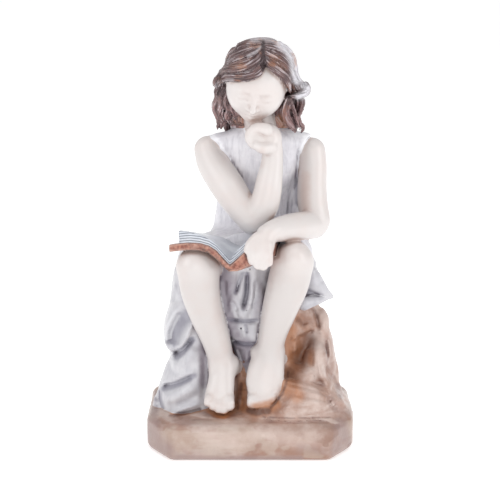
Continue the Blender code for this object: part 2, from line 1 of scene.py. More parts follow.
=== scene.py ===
"""Looks of the resin reading woman: the casting is sculpted as a distance field in millimetres, skinned, and painted in nodes."""
import math
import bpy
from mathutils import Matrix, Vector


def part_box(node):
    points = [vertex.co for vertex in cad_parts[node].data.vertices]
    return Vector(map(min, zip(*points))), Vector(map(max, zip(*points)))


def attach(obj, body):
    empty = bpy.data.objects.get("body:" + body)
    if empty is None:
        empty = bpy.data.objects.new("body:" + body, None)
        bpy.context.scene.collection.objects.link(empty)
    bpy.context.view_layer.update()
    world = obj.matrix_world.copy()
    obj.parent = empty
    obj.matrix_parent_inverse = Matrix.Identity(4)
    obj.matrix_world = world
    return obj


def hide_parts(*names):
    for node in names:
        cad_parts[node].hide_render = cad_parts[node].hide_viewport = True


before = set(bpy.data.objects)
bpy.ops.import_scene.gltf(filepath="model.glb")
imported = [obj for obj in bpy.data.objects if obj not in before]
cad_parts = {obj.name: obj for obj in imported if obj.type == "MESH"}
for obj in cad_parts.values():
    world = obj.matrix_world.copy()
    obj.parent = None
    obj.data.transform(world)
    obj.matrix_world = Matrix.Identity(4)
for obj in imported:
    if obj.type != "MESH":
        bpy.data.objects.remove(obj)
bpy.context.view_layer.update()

from concurrent.futures import ThreadPoolExecutor
import bpy
import numpy as np
from mathutils import Vector

NODE = "reading_woman_statue"
GRID = 1.08          # mm between samples of the sculpt
MOST_TRIANGLES = 198000
SHIFT = np.array((0.0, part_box(NODE)[1][1] * 1000 - 61.75, 0.0))   # the sculpt's own frame to the CAD frame

# ---- camera, also used to place detail on the front elevation (500 x 500)
CAM_UP, CAM_FAR, CAM_F, CAM_V0 = math.radians(13), 1100.0, 1493.517, 240.7746
VIEW = np.array((0, math.cos(CAM_UP), -math.sin(CAM_UP)))
VUP = np.array((0, math.sin(CAM_UP), math.cos(CAM_UP)))
VRIGHT = np.array((1.0, 0, 0))
EYE = np.array((0, 0, 150.0)) - CAM_FAR * VIEW


def w(u, v, y):
    """The point at depth y, in mm, that the front elevation shows at u, v."""
    d = VIEW + ((u - 250) / CAM_F) * VRIGHT + ((CAM_V0 - v) / CAM_F) * VUP
    return tuple(EYE + d * ((y - EYE[1]) / d[1]))


def wr(u, v, y, *r):
    return w(u, v, y) + r

# ---- distance-field tools
FAR = 10.0
def v3(*a): return np.array(a, dtype=np.float64)
def unit(a):
    a = np.asarray(a, float); return a / max(1e-9, np.linalg.norm(a))
def smin(a, b, k):
    if k <= 0: return np.minimum(a, b)
    h = np.clip(0.5 + 0.5 * (b - a) / k, 0, 1)
    return b * (1 - h) + a * h - k * h * (1 - h)
def smax(a, b, k): return -smin(-a, -b, k)
def sstep(e0, e1, x):
    t = np.clip((x - e0) / (e1 - e0), 0, 1); return t * t * (3 - 2 * t)
def spline(pts, n):
    """Catmull-Rom through rows of pts (any number of columns), n samples."""
    p = np.asarray(pts, float)
    q = np.vstack([2 * p[0] - p[1], p, 2 * p[-1] - p[-2]])
    out = []
    m = len(p) - 1
    for s in np.linspace(0, m, n):
        i = min(int(s), m - 1); t = s - i
        a, b, c, d = q[i], q[i + 1], q[i + 2], q[i + 3]
        out.append(0.5 * (2 * b + (c - a) * t + (2 * a - 5 * b + 4 * c - d) * t * t + (3 * b - a - 3 * c + d) * t ** 3))
    return np.array(out)
def cone(a, b, ra, rb):
    a = np.asarray(a, float); b = np.asarray(b, float)
    ba = b - a; l2 = ba @ ba; rr = ra - rb; a2 = l2 - rr * rr; il2 = 1 / l2
    def f(q):
        pa = q - a; y = pa @ ba; z = y - l2
        x = pa * l2 - y[:, None] * ba; x2 = np.einsum('ij,ij->i', x, x)
        y2 = y * y * l2; z2 = z * z * l2
        k = np.sign(rr) * rr * rr * x2
        c1 = np.sign(z) * a2 * z2 > k
        c2 = np.sign(y) * a2 * y2 < k
        return np.where(c1, np.sqrt(x2 + z2) * il2 - rb, np.where(c2, np.sqrt(x2 + y2) * il2 - ra, (np.sqrt(x2 * a2 * il2) + y * rr) * il2 - ra))
    r = max(ra, rb)
    return f, np.minimum(a, b) - r, np.maximum(a, b) + r
def chain(rows, k=3.0, n=None):
    """rows of x,y,z,r, blended cones through a spline"""
    rows = np.asarray(rows, float)
    rows = spline(rows, n or (3 * (len(rows) - 1) + 1)); k = 0
    parts = [cone(rows[i, :3], rows[i + 1, :3], rows[i, 3], rows[i + 1, 3]) for i in range(len(rows) - 1)]
    def f(q):
        d = parts[0][0](q)
        for p in parts[1:]: d = smin(d, p[0](q), k)
        return d
    return f, np.min([p[1] for p in parts], 0), np.max([p[2] for p in parts], 0)
def ell(c, r, R=None):
    c = np.asarray(c, float); r = np.asarray(r, float)
    R = np.eye(3) if R is None else np.asarray(R, float)
    def f(q):
        p = (q - c) @ R
        k0 = np.sqrt(((p / r) ** 2).sum(1)); k1 = np.sqrt(((p / r ** 2) ** 2).sum(1))
        return k0 * (k0 - 1) / np.maximum(k1, 1e-6)
    ext = np.sqrt(((R * r) ** 2).sum(1))
    return f, c - ext, c + ext
def rot(ax=0, ay=0, az=0):
    ax, ay, az = map(math.radians, (ax, ay, az))
    X = np.array([[1, 0, 0], [0, math.cos(ax), -math.sin(ax)], [0, math.sin(ax), math.cos(ax)]])
    Y = np.array([[math.cos(ay), 0, math.sin(ay)], [0, 1, 0], [-math.sin(ay), 0, math.cos(ay)]])
    Z = np.array([[math.cos(az), -math.sin(az), 0], [math.sin(az), math.cos(az), 0], [0, 0, 1]])
    return Z @ Y @ X
def tube(rows, normal, n=14, groove=0.0, strands=7, phase=0.0, twist=0.0):
    """swept ellipse. rows x,y,z,a(half width),b(half thickness); normal: fixed vector, or a centre point ('c', point) it faces away from"""
    s = spline(rows, n)
    P = s[:, :3]; A = np.maximum(s[:, 3], .25); B = np.maximum(s[:, 4], .25)
    T = np.gradient(P, axis=0); T /= np.linalg.norm(T, axis=1)[:, None]
    if isinstance(normal[0], str): N = P - np.asarray(normal[1], float)
    else: N = np.tile(np.asarray(normal, float), (len(P), 1))
    N = N - (N * T).sum(1)[:, None] * T
    N /= np.maximum(np.linalg.norm(N, axis=1), 1e-6)[:, None]
    S = np.cross(T, N)
    if twist:
        w = np.linspace(0, math.radians(twist), len(P))[:, None]
        N, S = N * np.cos(w) + S * np.sin(w), S * np.cos(w) - N * np.sin(w)
    a = P[:-1]; ba = P[1:] - P[:-1]; l2 = (ba ** 2).sum(1)
    def f(q):
        pa = q[:, None] - a[None]
        h = np.clip((pa * ba).sum(2) / l2, 0, 1)
        dv = pa - ba * h[..., None]
        j = np.argmin((dv ** 2).sum(2), 1); I = np.arange(len(q))
        h = h[I, j]; off = dv[I, j]
        mix = lambda X: X[j] * (1 - h[:, None]) + X[j + 1] * h[:, None] if X.ndim == 2 else X[j] * (1 - h) + X[j + 1] * h
        Am, Bm, Nm, Sm, Tm = mix(A), mix(B), mix(N), mix(S), mix(T)
        na = (off * Nm).sum(1); sa = (off * Sm).sum(1); ta = (off * Tm).sum(1)
        m = np.minimum(Am, Bm)
        k0 = np.sqrt((sa / Am) ** 2 + (na / Bm) ** 2 + (ta / m) ** 2)
        k1 = np.sqrt((sa / Am ** 2) ** 2 + (na / Bm ** 2) ** 2 + (ta / m ** 2) ** 2)
        d = k0 * (k0 - 1) / np.maximum(k1, 1e-5)
        d = np.where(k0 < 0.05, -m, d)
        if groove:
            psi = np.arctan2(na / Bm, sa / Am)
            g = 0.5 + 0.5 * np.cos(strands * psi + phase + 0.5 * np.sin((j + h) * 0.9 + phase))
            d = d + groove * np.minimum(1, m / 2.0) * g ** 1.5
        return d
    r = np.maximum(A, B).max()
    return f, P.min(0) - r, P.max(0) + r
class Sculpt:
    def __init__(self, order): self.ops = []; self.order = order
    def add(self, g, fb, k=1.5): self.ops.append((g, 'add', fb[0], fb[1], fb[2], k))
    def cut(self, g, fb, k=1.0): self.ops.append((g, 'cut', fb[0], fb[1], fb[2], k))
    def keep(self, g, fb, k=1.0): self.ops.append((g, 'keep', fb[0], fb[1], fb[2], k))
    def warp(self, g, f, lo, hi): self.ops.append((g, 'warp', f, np.asarray(lo, float), np.asarray(hi, float), 0))
    def groups(self, Q, cell=20.0):
        Q = np.asarray(Q, float)
        out = {g: np.full(len(Q), FAR) for g in self.order}
        key = np.floor(Q / cell).astype(np.int64)
        code = (key[:, 0] + 64) + (key[:, 1] + 64) * 128 + (key[:, 2] + 64) * 16384
        idx = np.argsort(code, kind='stable'); cs = code[idx]
        cuts = np.flatnonzero(np.diff(cs)) + 1
        def work(I):
            q = Q[I]; lo = q.min(0); hi = q.max(0)
            loc = {g: np.full(len(I), FAR) for g in self.order}
            for g, mode, f, a, b, k in self.ops:
                m = FAR if mode == 'add' else k + 1.0
                if mode == 'warp': m = 0
                if (a - m > hi).any() or (b + m < lo).any(): continue
                if mode == 'add': loc[g] = smin(loc[g], np.minimum(f(q), FAR), k)
                elif mode == 'cut': loc[g] = smax(loc[g], -f(q), k)
                elif mode == 'keep': loc[g] = smax(loc[g], f(q), k)
                elif mode == 'warp': loc[g] = loc[g] + f(q, loc)
            for g in self.order: out[g][I] = loc[g]
        with ThreadPoolExecutor(4) as pool: list(pool.map(work, [I for I in np.split(idx, cuts) if len(I)]))
        return out
    def field(self, Q, k=0.7):
        L = self.groups(Q); d = None
        for g in self.order: d = L[g] if d is None else smin(d, L[g], k)
        return d
def surface_nets(S, lo, hi, h, block=None, log=None):
    block = block or max(2, int(round(6.4 / h)))
    lo = np.asarray(lo, float); hi = np.asarray(hi, float)
    n = (np.ceil((hi - lo) / (h * block)).astype(int)) * block + 1
    nb = (n - 1) // block
    ax = [lo[i] + h * block * (np.arange(nb[i]) + 0.5) for i in range(3)]
    G = np.stack(np.meshgrid(*ax, indexing='ij'), -1).reshape(-1, 3)
    dc = S.field(G).reshape(nb)
    reach = h * block * math.sqrt(3) / 2 * 1.25 + 1.0
    act = np.abs(dc) < reach
    vol = np.empty(n, np.float32)
    sign = np.where(dc < 0, -1.0, 1.0).astype(np.float32)
    big = np.repeat(np.repeat(np.repeat(sign, block, 0), block, 1), block, 2)
    vol[:-1, :-1, :-1] = big; vol[-1] = 1; vol[:, -1] = 1; vol[:, :, -1] = 1
    bi = np.argwhere(act)
    if log: log("blocks %d of %d, grid %s" % (len(bi), nb.prod(), n))
    loc = np.stack(np.meshgrid(*[np.arange(block + 1)] * 3, indexing='ij'), -1).reshape(-1, 3)
    nodes = (bi[:, None] * block + loc[None]).reshape(-1, 3)
    code = (nodes[:, 0] * n[1] + nodes[:, 1]) * n[2] + nodes[:, 2]
    code = np.unique(code)
    ii = np.stack([code // (n[1] * n[2]), (code // n[2]) % n[1], code % n[2]], 1)
    P = lo + ii * h
    if log: log("nodes %d" % len(P))
    vol.reshape(-1)[code] = S.field(P).astype(np.float32)
    inside = vol < 0
    # cells with a sign change
    c = inside[:-1, :-1, :-1].astype(np.int8)
    cnt = np.zeros_like(c)
    for dx in (0, 1):
        for dy in (0, 1):
            for dz in (0, 1):
                cnt += inside[dx:n[0] - 1 + dx, dy:n[1] - 1 + dy, dz:n[2] - 1 + dz]
    cell = (cnt > 0) & (cnt < 8)
    ci = np.argwhere(cell)
    vid = np.full(cell.shape, -1, np.int64); vid[cell] = np.arange(len(ci))
    acc = np.zeros((len(ci), 3)); w = np.zeros(len(ci))
    corner = [(0, 0, 0), (1, 0, 0), (0, 1, 0), (1, 1, 0), (0, 0, 1), (1, 0, 1), (0, 1, 1), (1, 1, 1)]
    val = {cc: vol[ci[:, 0] + cc[0], ci[:, 1] + cc[1], ci[:, 2] + cc[2]] for cc in corner}
    for i, a in enumerate(corner):
        for b in corner[i + 1:]:
            if sum(abs(x - y) for x, y in zip(a, b)) != 1: continue
            va, vb = val[a], val[b]; m = (va < 0) != (vb < 0)
            t = np.where(m, va / np.where(m, va - vb, 1), 0)
            A = np.array(a, float); B = np.array(b, float)
            acc += np.where(m[:, None], A + (B - A) * t[:, None], 0); w += m
    verts = lo + (ci + acc / w[:, None]) * h
    quads = []
    for axis in range(3):
        sl_a = [slice(0, -1)] * 3; sl_b = [slice(0, -1)] * 3
        u, v = [(1, 2), (2, 0), (0, 1)][axis]
        s0 = [slice(None)] * 3; s1 = [slice(None)] * 3
        s0[axis] = slice(0, n[axis] - 1); s1[axis] = slice(1, n[axis])
        A = inside[tuple(s0)]; B = inside[tuple(s1)]
        ch = A != B
        idx = np.argwhere(ch)
        ok = (idx[:, u] > 0) & (idx[:, v] > 0) & (idx[:, u] < n[u] - 1) & (idx[:, v] < n[v] - 1)
        idx = idx[ok]
        flip = A[idx[:, 0], idx[:, 1], idx[:, 2]]
        def cid(du, dv):
            j = idx.copy(); j[:, u] -= du; j[:, v] -= dv
            return vid[j[:, 0], j[:, 1], j[:, 2]]
        q = np.stack([cid(1, 1), cid(0, 1), cid(0, 0), cid(1, 0)], 1)
        q[~flip] = q[~flip][:, ::-1]
        quads.append(q)
    return verts, np.vstack(quads)
def project(S, v, steps=2, eps=0.15):
    e = np.eye(3) * eps
    for _ in range(steps):
        d = S.field(v)
        g = np.stack([S.field(v + e[i]) - d for i in range(3)], 1) / eps
        n2 = np.maximum((g ** 2).sum(1), 0.25)
        v = v - np.clip(d / n2, -0.5, 0.5)[:, None] * g
    return v

# ---- the sculpt
HEAD_S = 0.90
HC = np.array((5.0, -22.0, 271.0))
HR = rot(ay=9) @ rot(ax=35)
def H(x, y, z): return HC + HR @ (np.array((x, y, z), float) * HEAD_S)
def hell(c, r, R=None): return ell(H(*c), np.array(r) * HEAD_S, HR if R is None else HR @ R)
def hchain(rows, **kw): return chain([tuple(H(*r[:3])) + (r[3] * HEAD_S,) for r in rows], **kw)
def oh(u, v, off=0.0):
    """point over the skull seen at u, v, off mm proud"""
    d = VIEW + ((u - 250) / CAM_F) * VRIGHT + ((CAM_V0 - v) / CAM_F) * VUP
    c = H(0, 3, 7); R = np.array((23.2, 25.5, 21.5)) * HEAD_S + off
    o = (HR.T @ (EYE - c)) / R; e = (HR.T @ d) / R
    A = e @ e; B = o @ e; C = o @ o - 1
    disc = B * B - A * C
    t = (-B - math.sqrt(disc)) / A if disc > 0 else -B / A
    return tuple(EYE + t * d)

def noise3(q, seed=0, scale=10.0):
    r = np.random.RandomState(seed); s = np.zeros(len(q))
    for i in range(5):
        d = r.normal(size=3); d /= np.linalg.norm(d); f = 2 * math.pi / (scale * (0.55 + 0.25 * i))
        e = r.normal(size=3); e /= np.linalg.norm(e)
        s += np.sin(q @ d * f + r.uniform(0, 6.28) + 1.3 * np.sin(q @ e * f * 0.6 + r.uniform(0, 6.28))) / (1 + 0.45 * i)
    return s / 2.6

def stroke(S, g, pts, width, height, y0=-80, y1=0, n=None, taper=True):
    """ridge (height > 0) or valley on group g, drawn on the front elevation through pts"""
    p = spline(np.asarray(pts, float), n or 4 * (len(pts) - 1) + 1)[:, [0, 2]]
    a = p[:-1]; ba = p[1:] - a; l2 = (ba ** 2).sum(1); m = len(a)
    def f(q, loc):
        x = q[:, [0, 2]]
        pa = x[:, None] - a[None]
        h = np.clip((pa * ba).sum(2) / l2, 0, 1)
        dd = ((pa - ba * h[..., None]) ** 2).sum(2)
        j = np.argmin(dd, 1); I = np.arange(len(q)); dist = np.sqrt(dd[I, j]); t = (j + h[I, j]) / m
        e = sstep(0, 0.18, t) * sstep(0, 0.18, 1 - t) if taper else 1.0
        k = sstep(y1 + 4, y1 - 4, q[:, 1]) * sstep(y0 - 4, y0 + 4, q[:, 1])
        return -height * e * k * np.exp(-(dist / width) ** 2)
    lo = np.array((p[:, 0].min() - 2.6 * width, y0 - 4, p[:, 1].min() - 2.6 * width))
    hi = np.array((p[:, 0].max() + 2.6 * width, y1 + 4, p[:, 1].max() + 2.6 * width))
    S.warp(g, f, lo, hi)

def build(parts=None):
    S = Sculpt(['skin', 'dress', 'hair', 'pages', 'cover', 'rock']); S.locks = []
    body(S); head(S); dress(S); book(S); rock(S); clip(S); hair(S)
    return S

def body(S):
    S.add('skin', chain([wr(208,149.5,4,10.0), wr(213.5,164.5,-2,11.5), wr(227.8,186.5,-14,12.2), wr(241,206,-22,11.0), wr(249,217.5,-26,9.6)]), 1)
    S.add('skin', chain([wr(254,219.5,-26,9.8), wr(262.3,208.5,-27,10.7), wr(267,195,-27,10.2), wr(269.4,180,-26.5,9.3), wr(272,164,-25,7.9), wr(272.6,150,-24,7.3)]), 1.5)
    S.add('skin', cone(w(249,224,-25), w(256,220,-26), 6.4, 7.5), 3)
    # fist
    S.add('skin', ell(w(269.5,138,-25), (8.8, 8.6, 10.6), rot(ay=-12)), 3)
    S.add('skin', ell(w(259.5,139,-26.5), (8.2, 8.6, 8.4)), 2)
    for i in range(4):
        y = -33.5 + 4.6 * i
        S.add('skin', chain([wr(267,129.5,y,4.4), wr(258,127.6,y,3.6), wr(250.6,131.6,y,3.4), wr(249.6,139,y,3.3), wr(253.5,144.5,y,3.0)], n=9), 1.3)
    S.add('skin', chain([wr(271,147,-31,4.6), wr(263,148.2,-35,4.0), wr(256.5,145.6,-36.5,3.2)]), 1.6)
    S.add('skin', ell(w(256.5,138.5,-28.5), (6.4, 7.6, 7.0)), 2)
    # left arm
    S.add('skin', chain([wr(311.8,151,6,9.9), wr(312.8,166,4,10.2), wr(312,188,0,10.7), wr(313,206,-4,11.0), wr(316,220,-8,10.4)]), 1)
    S.add('skin', chain([wr(314,225,-9,9.9), wr(301,226,-24,10.3), wr(287,228,-38,9.6), wr(274,231,-50,8.0), wr(267,235,-55,7.3)]), 1.5)
    S.add('skin', chain([wr(267,236,-55,7.2), wr(262.5,245,-60,7.4), wr(261,251,-62,6.8)]), 2)
    S.add('skin', ell(w(261,246,-61), (9.4, 5.4, 9.5), rot(ax=-18)), 2)
    for i in range(4):
        u = 252.0 + 5.1 * i
        S.add('skin', chain([wr(u,246,-63,4.2), wr(u+0.3,256,-66,3.8), wr(u+1.0,(260.5,264.8,265.8,262.0)[i],-65,3.4)], n=6), 0.8)
    S.add('skin', chain([wr(258,238,-60,4.2), wr(251,243.5,-63,3.4), wr(247.5,250,-65,2.8)]), 1.2)
    # legs
    S.add('skin', chain([(-17,34,138,13), (-25,4,140,13.5), wr(199,267,-42,15.0)]), 2)
    S.add('skin', chain([(22,34,139,14), (27,4,141,13.5), wr(293,262,-42,14.6)]), 2)
    S.add('skin', chain([wr(198.5,269,-42,15.2), wr(200.2,290,-39,14.0), wr(206.2,313,-34,12.4), wr(215.5,338,-29,10.6), wr(220,355,-26,9.6), wr(222,366,-26,9.4)]), 1.5)
    S.add('skin', chain([wr(292.5,264,-42,14.8), wr(288,284,-40,14.8), wr(280.8,306,-35,13.0), wr(273.6,331,-30,10.3), wr(270.5,346,-27,9.7), wr(269,358,-27,9.5)]), 1.5)
    S.add('skin', ell(w(193,265,-46), (10.5, 9, 11)), 5); S.add('skin', ell(w(294,259,-50), (9, 7.5, 9.5)), 5)
    S.add('skin', ell(w(203.6,304,-26), (11.2, 10, 20), rot(ay=-8)), 4); S.add('skin', ell(w(283,300,-27), (10.5, 10, 20), rot(ay=12)), 4)
    # feet
    S.add('skin', cone(w(238.5,364,-14), w(228,367,-22), 5.2, 8.4), 5)
    S.add('skin', cone(w(280.5,359,-15), w(271,361,-22), 5.0, 8.4), 5)
    S.add('skin', ell(w(233,362,-25), (4, 4, 4.5)), 3); S.add('skin', ell(w(256,352,-26), (4, 4, 4.5)), 3)
    n = (0, -0.8, 0.6)
    S.add('skin', tube([wr(222,364,-26,9.4,8.8), wr(221.5,380,-31,9.6,7.8), wr(219.5,394,-35,10.4,6.4), wr(218.5,401,-37,10.4,4.8)], n, n=8), 3)
    S.add('skin', tube([wr(270,352,-26,11,9.4), wr(266.8,366,-29,13,9), wr(264.8,380,-32,13.8,8), wr(263.3,391,-35,12.4,6.4), wr(260.5,400,-37,9.6,4.8)], n, n=8), 3)
    tr = [((228.6,398),(229.8,406.2),3.8), ((223.4,400.5),(224,410.6),3.2), ((218.3,400.5),(218.3,410),2.9), ((213.2,399),(212.4,407.3),2.7), ((208.7,396),(207,403.4),2.5)]
    for a, b, r in tr: S.add('skin', chain([w(a[0],a[1],-37)+(r,), w((a[0]+b[0])/2,(a[1]+b[1])/2-1,-41)+(r,), w(b[0],b[1]-.6,-41.5)+(r*.97,)], n=4), 2.2)
    tl = [((252.4,397),(251.6,404.6),3.6), ((257.4,398),(257.4,405.6),3.0), ((262.2,397.5),(262.8,405),2.8), ((266.6,396),(267.8,403),2.7), ((270.4,393.5),(272.4,399.6),2.5)]
    for a, b, r in tl: S.add('skin', chain([w(a[0],a[1],-37)+(r,), w((a[0]+b[0])/2,(a[1]+b[1])/2-1,-40.5)+(r,), w(b[0],b[1]-.6,-41)+(r*.97,)], n=4), 2.2)
    S.add('skin', cone((8.8,5,224), H(0,7,-14), 11.5, 10.5), 2)

def head(S):
    S.add('skin', hell((0,3,7), (24.6,25.5,21.5)), 3)
    S.add('skin', hell((0,-5,-6), (23.2,18,22)), 5)
    S.add('skin', hell((0,-8,-16), (16.5,12.5,12)), 5)
    S.add('skin', hell((0,-14.8,-23.5), (6.5,5.5,5.5)), 5)
    for s in (-1, 1):
        S.add('skin', hell((s*10.5,-13.5,-9), (7.5,6.5,7.5)), 5)
        S.cut('skin', hell((s*8.8,-24.6,1.2), (6.4,4.2,3.4)), 3)
        S.add('skin', hell((s*8.6,-17.6,-0.4), (5.2,4.4,3.6)), 1.2)
        S.cut('skin', hchain([(s*4.6,-20.8,-2.2,.3), (s*8.6,-22.6,-3.4,.35), (s*12.6,-19.8,-2.0,.3)]), 0.7)
        S.add('skin', hell((s*3.0,-22.6,-10.4), (2.0,2.4,1.7)), 1.4)
        # ear
        S.add('skin', hell((s*22.6,1.5,-3), (2.2,4.2,6.5), rot(az=s*20)), 1.0)
    S.add('skin', hchain([(0,-21.0,4,1.8), (0,-23.6,-4,1.9), (0,-26.0,-9.2,2.6)]), 2.0)
    S.add('skin', hchain([(-5.0,-19.4,-17.2,0.9), (-1.7,-22.0,-16.2,1.4), (1.7,-22.0,-16.2,1.4), (5.0,-19.4,-17.2,0.9)]), 1.2)
    S.add('skin', hchain([(-3.8,-19.8,-19.4,1.0), (0,-21.8,-19.8,1.7), (3.8,-19.8,-19.4,1.0)]), 1.2)
    S.cut('skin', hchain([(-5.4,-20.6,-18.0,0.3), (0,-24.0,-18.0,0.4), (5.4,-20.6,-18.0,0.3)]), 0.6)

def dress(S):
    S.add('dress', tube([(3.8,33,143,31,21), (4.0,33,153,31.5,22), (4.8,29,168,29.8,19.5), (6.6,22,186,29.6,18.3), (6.8,15,202,30.5,18), (7.5,9,214,31,15), (8.5,7,224,24,11)], (0,1,0), n=14), 2)
    for tip in ((-23,5,221), (40,7,221)):
        S.add('dress', cone((8.8,7,226), tip, 9.0, 8.4), 5)
    S.cut('dress', ell(w(318.5,156,0), (13.4, 34, 16.0)), 0.8)
    S.cut('dress', ell(w(206,157.5,0), (13.2, 34, 15.6)), 0.8)
    S.add('dress', ell((36.5,14,190), (4.6, 8, 18)), 3); S.add('dress', ell((35.2,17,174), (5.6, 9, 16)), 3)
    S.add('dress', ell((7,8,203), (25,13.6,17)), 8)
    # lap
    S.add('dress', chain([(-17,34,138,15), (-25,4,141,15.5), (-31.5,-20,141,16.0)]), 4)
    S.add('dress', chain([(22,34,140,16), (27,4,142,15.5), (29.5,-24,146,15.8)]), 4)
    S.add('dress', ell((2,2,141), (34,34,16)), 6); S.add('dress', ell((3.5,28,143), (34,27,19)), 6)
    # left drape
    S.add('dress', tube([(-35,6,133,19,26), (-38,5,116,20,27), (-40,3,97,20,27), (-42.5,1,80,21,27), (-40,-1,64,19.0,26), (-41.5,-2,50,21.5,27), (-42.5,-3,38,25,28), (-43,-3,28,27.7,29), (-43,-3,20,28,29)], (0,1,0), n=16), 6)
    S.add('dress', chain([wr(178.5,372,-4,9), wr(174.5,386,-6,9.5), wr(170.5,400,-8,9.5), wr(168,409,-10,8.5)]), 6)
    # cloth between the shins
    S.add('dress', tube([(-1,-16,142,24,18), (-1,-15,120,21,16), (0,-14,96,18,14), (1,-12.5,72,14,12), (1,-11,58,10,10)], (0,1,0), n=12), 5)
    for p, k in (([(231.5,266,-31,5.2), (231.3,282,-30,5.0), (233.2,294,-29,4.4), (237.5,305,-28,3.4), (242.5,313,-27.5,3.0)], 3.4),
                 ([(252.5,266,-32,4.8), (251.3,282,-31,4.8), (249.4,296,-30,4.2), (246.8,306,-29,3.4), (243.5,313,-27.5,3.0)], 3.4),
                 ([(259,268,-27,4.6), (259.5,292,-26,4.4), (258,314,-25,3.8)], 3.4),
                 ([(241.5,268,-29,3.4), (240.4,284,-28.5,3.0), (240,298,-27,2.6)], 2.5),
                 ([(224.5,262,-28,6), (225,285,-28,6), (228,310,-25,5.5), (232,330,-20,5)], 4),
                 ([(252.5,325,-24,4.6), (252.3,337,-23,3.8)], 2.4),
                 ([(235,325,-22,4.2), (238.5,336,-21,3.4)], 2.8)):
        S.add('dress', chain([wr(*q) for q in p]), k)
    # right cloth
    S.add('dress', tube([(28,4,144,12,24), (33,4,136,12.5,24), (38.5,2,126,12.5,22), (42,0,118,11.5,18), (42,0,113,9,15)], (0,1,0), n=10), 4)
    S.add('dress', chain([wr(312,277,-14,7.0), wr(318.5,287.5,-12,5.8), wr(326,293.5,-10,3.3), wr(332,296.2,-8,1.2)]), 3)
    S.add('dress', chain([wr(304,304,-22,4.8), wr(312,301.5,-18,4.0), wr(320,299.4,-14,3.0), wr(329.5,297,-9,1.1)]), 2)
    S.add('dress', chain([wr(306,292,-4,8.0), wr(316,294,-5,6.0), wr(324,295.5,-6,3.6), wr(330,296.6,-7,1.6)]), 2)
    # folds of the left drape
    D = lambda pts, wd, h, **k: stroke(S, 'dress', [w(*p) for p in pts], wd, h, **k)
    D([(177,268,-18),(174.5,282,-20),(176,292,-22),(182,302,-24)], 3.0, 1.6)
    D([(184,276,-26),(185,292,-28),(189,306,-28)], 2.4, -1.5)
    D([(182,303,-24),(172,316,-18),(166,331,-14),(167.5,345,-16),(174,353,-20)], 3.6, 2.6, y1=10)
    D([(186,313,-24),(178.5,324,-20),(172.5,337,-18),(173,345,-18)], 5.0, -3.2, y1=10)
    D([(193,316,-28),(189.5,330,-28),(183.5,341,-26),(176,350,-22)], 2.6, 3.6)
    D([(194.5,337,-28),(188,346,-28),(183,351.5,-27),(177.5,356,-24),(172.5,356.5,-16)], 2.3, -4.6, y1=10)
    D([(194.5,346,-28),(189,356,-27),(181,363,-24),(170,368,-18)], 4.2, 2.8, y1=8)
    D([(195,375,-28),(186,380,-27),(176,385,-24),(168,387.5,-20),(162,389,-14)], 2.2, -3.8, y1=8)
    D([(197,371,-28),(185,374.5,-27),(172,379,-22)], 2.4, 1.2, y1=8)
    D([(198,381,-28),(187,389,-28),(174,395,-24),(163,398,-18)], 4.0, 2.2, y1=8)
    D([(201,391,-28),(190,399,-28),(177,404,-28)], 2.6, -1.0)
    D([(202.5,402.5,-30),(189,406,-30),(177,410,-28),(168,413,-26)], 1.6, 1.8)
    D([(202,352,-24),(204,368,-24),(203.5,388,-24),(202,400,-24)], 2.4, -1.6)
    D([(160.5,389,-14),(159.5,397,-14),(161.5,406,-16),(164,413,-18)], 1.6, -1.5, y1=4)
    D([(155.5,396,-8),(153.5,405,-8),(152.5,414,-8)], 2.4, 1.0, y1=14)
    # centre
    D([(224.5,276,-30),(225.5,296,-28),(228,314,-26)], 2.2, -2.2, y1=10)
    D([(247.6,268,-34),(247.2,285,-32),(246,299,-31),(243,310.5,-30)], 2.2, -3.4)
    D([(243.8,270,-32),(239,283,-31),(234.5,295,-30)], 1.8, -2.0)
    D([(231,300,-30),(235,303.5,-30),(237.5,312,-29)], 1.2, -1.2)
    D([(254.6,276,-30),(254.4,296,-30),(252.5,310,-29)], 1.3, -0.9)
    D([(226,318.6,-26),(236,320.4,-26),(247,321.2,-26),(260,319.6,-26)], 1.5, -2.4)
    D([(245.2,323,-26),(246.8,333,-25)], 1.3, -1.8)
    D([(231,341,-22),(240,343.5,-22),(250,343.6,-22),(257.5,342.2,-22)], 1.5, -2.8)
    D([(238,347,-22),(241.5,357,-22),(245,365,-22)], 1.5, -1.4)
    D([(246.5,347,-22),(246.5,362,-22)], 1.8, 1.2)
    S.cut('dress', ell(w(241,328.5,-26), (0.75, 5, 0.75)), 0.3)
    S.cut('dress', ell(w(249.8,270,-38), (0.7, 5, 0.7)), 0.3)
    # right cloth
    D([(298,290,-24),(307,291,-20),(316,293,-14),(326,295.4,-10)], 2.0, -0.8, y1=12)
    D([(316,270,-18),(320,284,-14)], 2.4, -1.2, y1=12)
    # lap folds
    for i, (x, t) in enumerate(((-12,-6),(-2,3),(9,8))):
        stroke(S, 'dress', [(x,0,128),(x+t*.3,0,118),(x+t,0,108)], 1.8, -1.0, y0=-60, y1=-10)
    # fine pleats that run up the bodice, all round
    def pleats(q, loc):
        cx = np.interp(q[:, 2], (140, 168, 186, 202, 214), (3.8, 4.8, 6.4, 6.8, 7.5)); cy = np.interp(q[:, 2], (140, 168, 186, 202, 214), (38, 29, 22, 15, 9))
        a = np.arctan2((q[:, 1] - cy) / 19, (q[:, 0] - cx) / 30)
        m = sstep(152, 162, q[:, 2]) * (0.55 + 0.45 * sstep(205, 190, q[:, 2])) * sstep(226, 214, q[:, 2])
        return 0.24 * m * (np.cos(44 * a + 1.6 * np.sin(7 * a)) + 0.35 * np.cos(19 * a + 1.0))
    S.warp('dress', pleats, (-40,-20,148), (50,70,210))
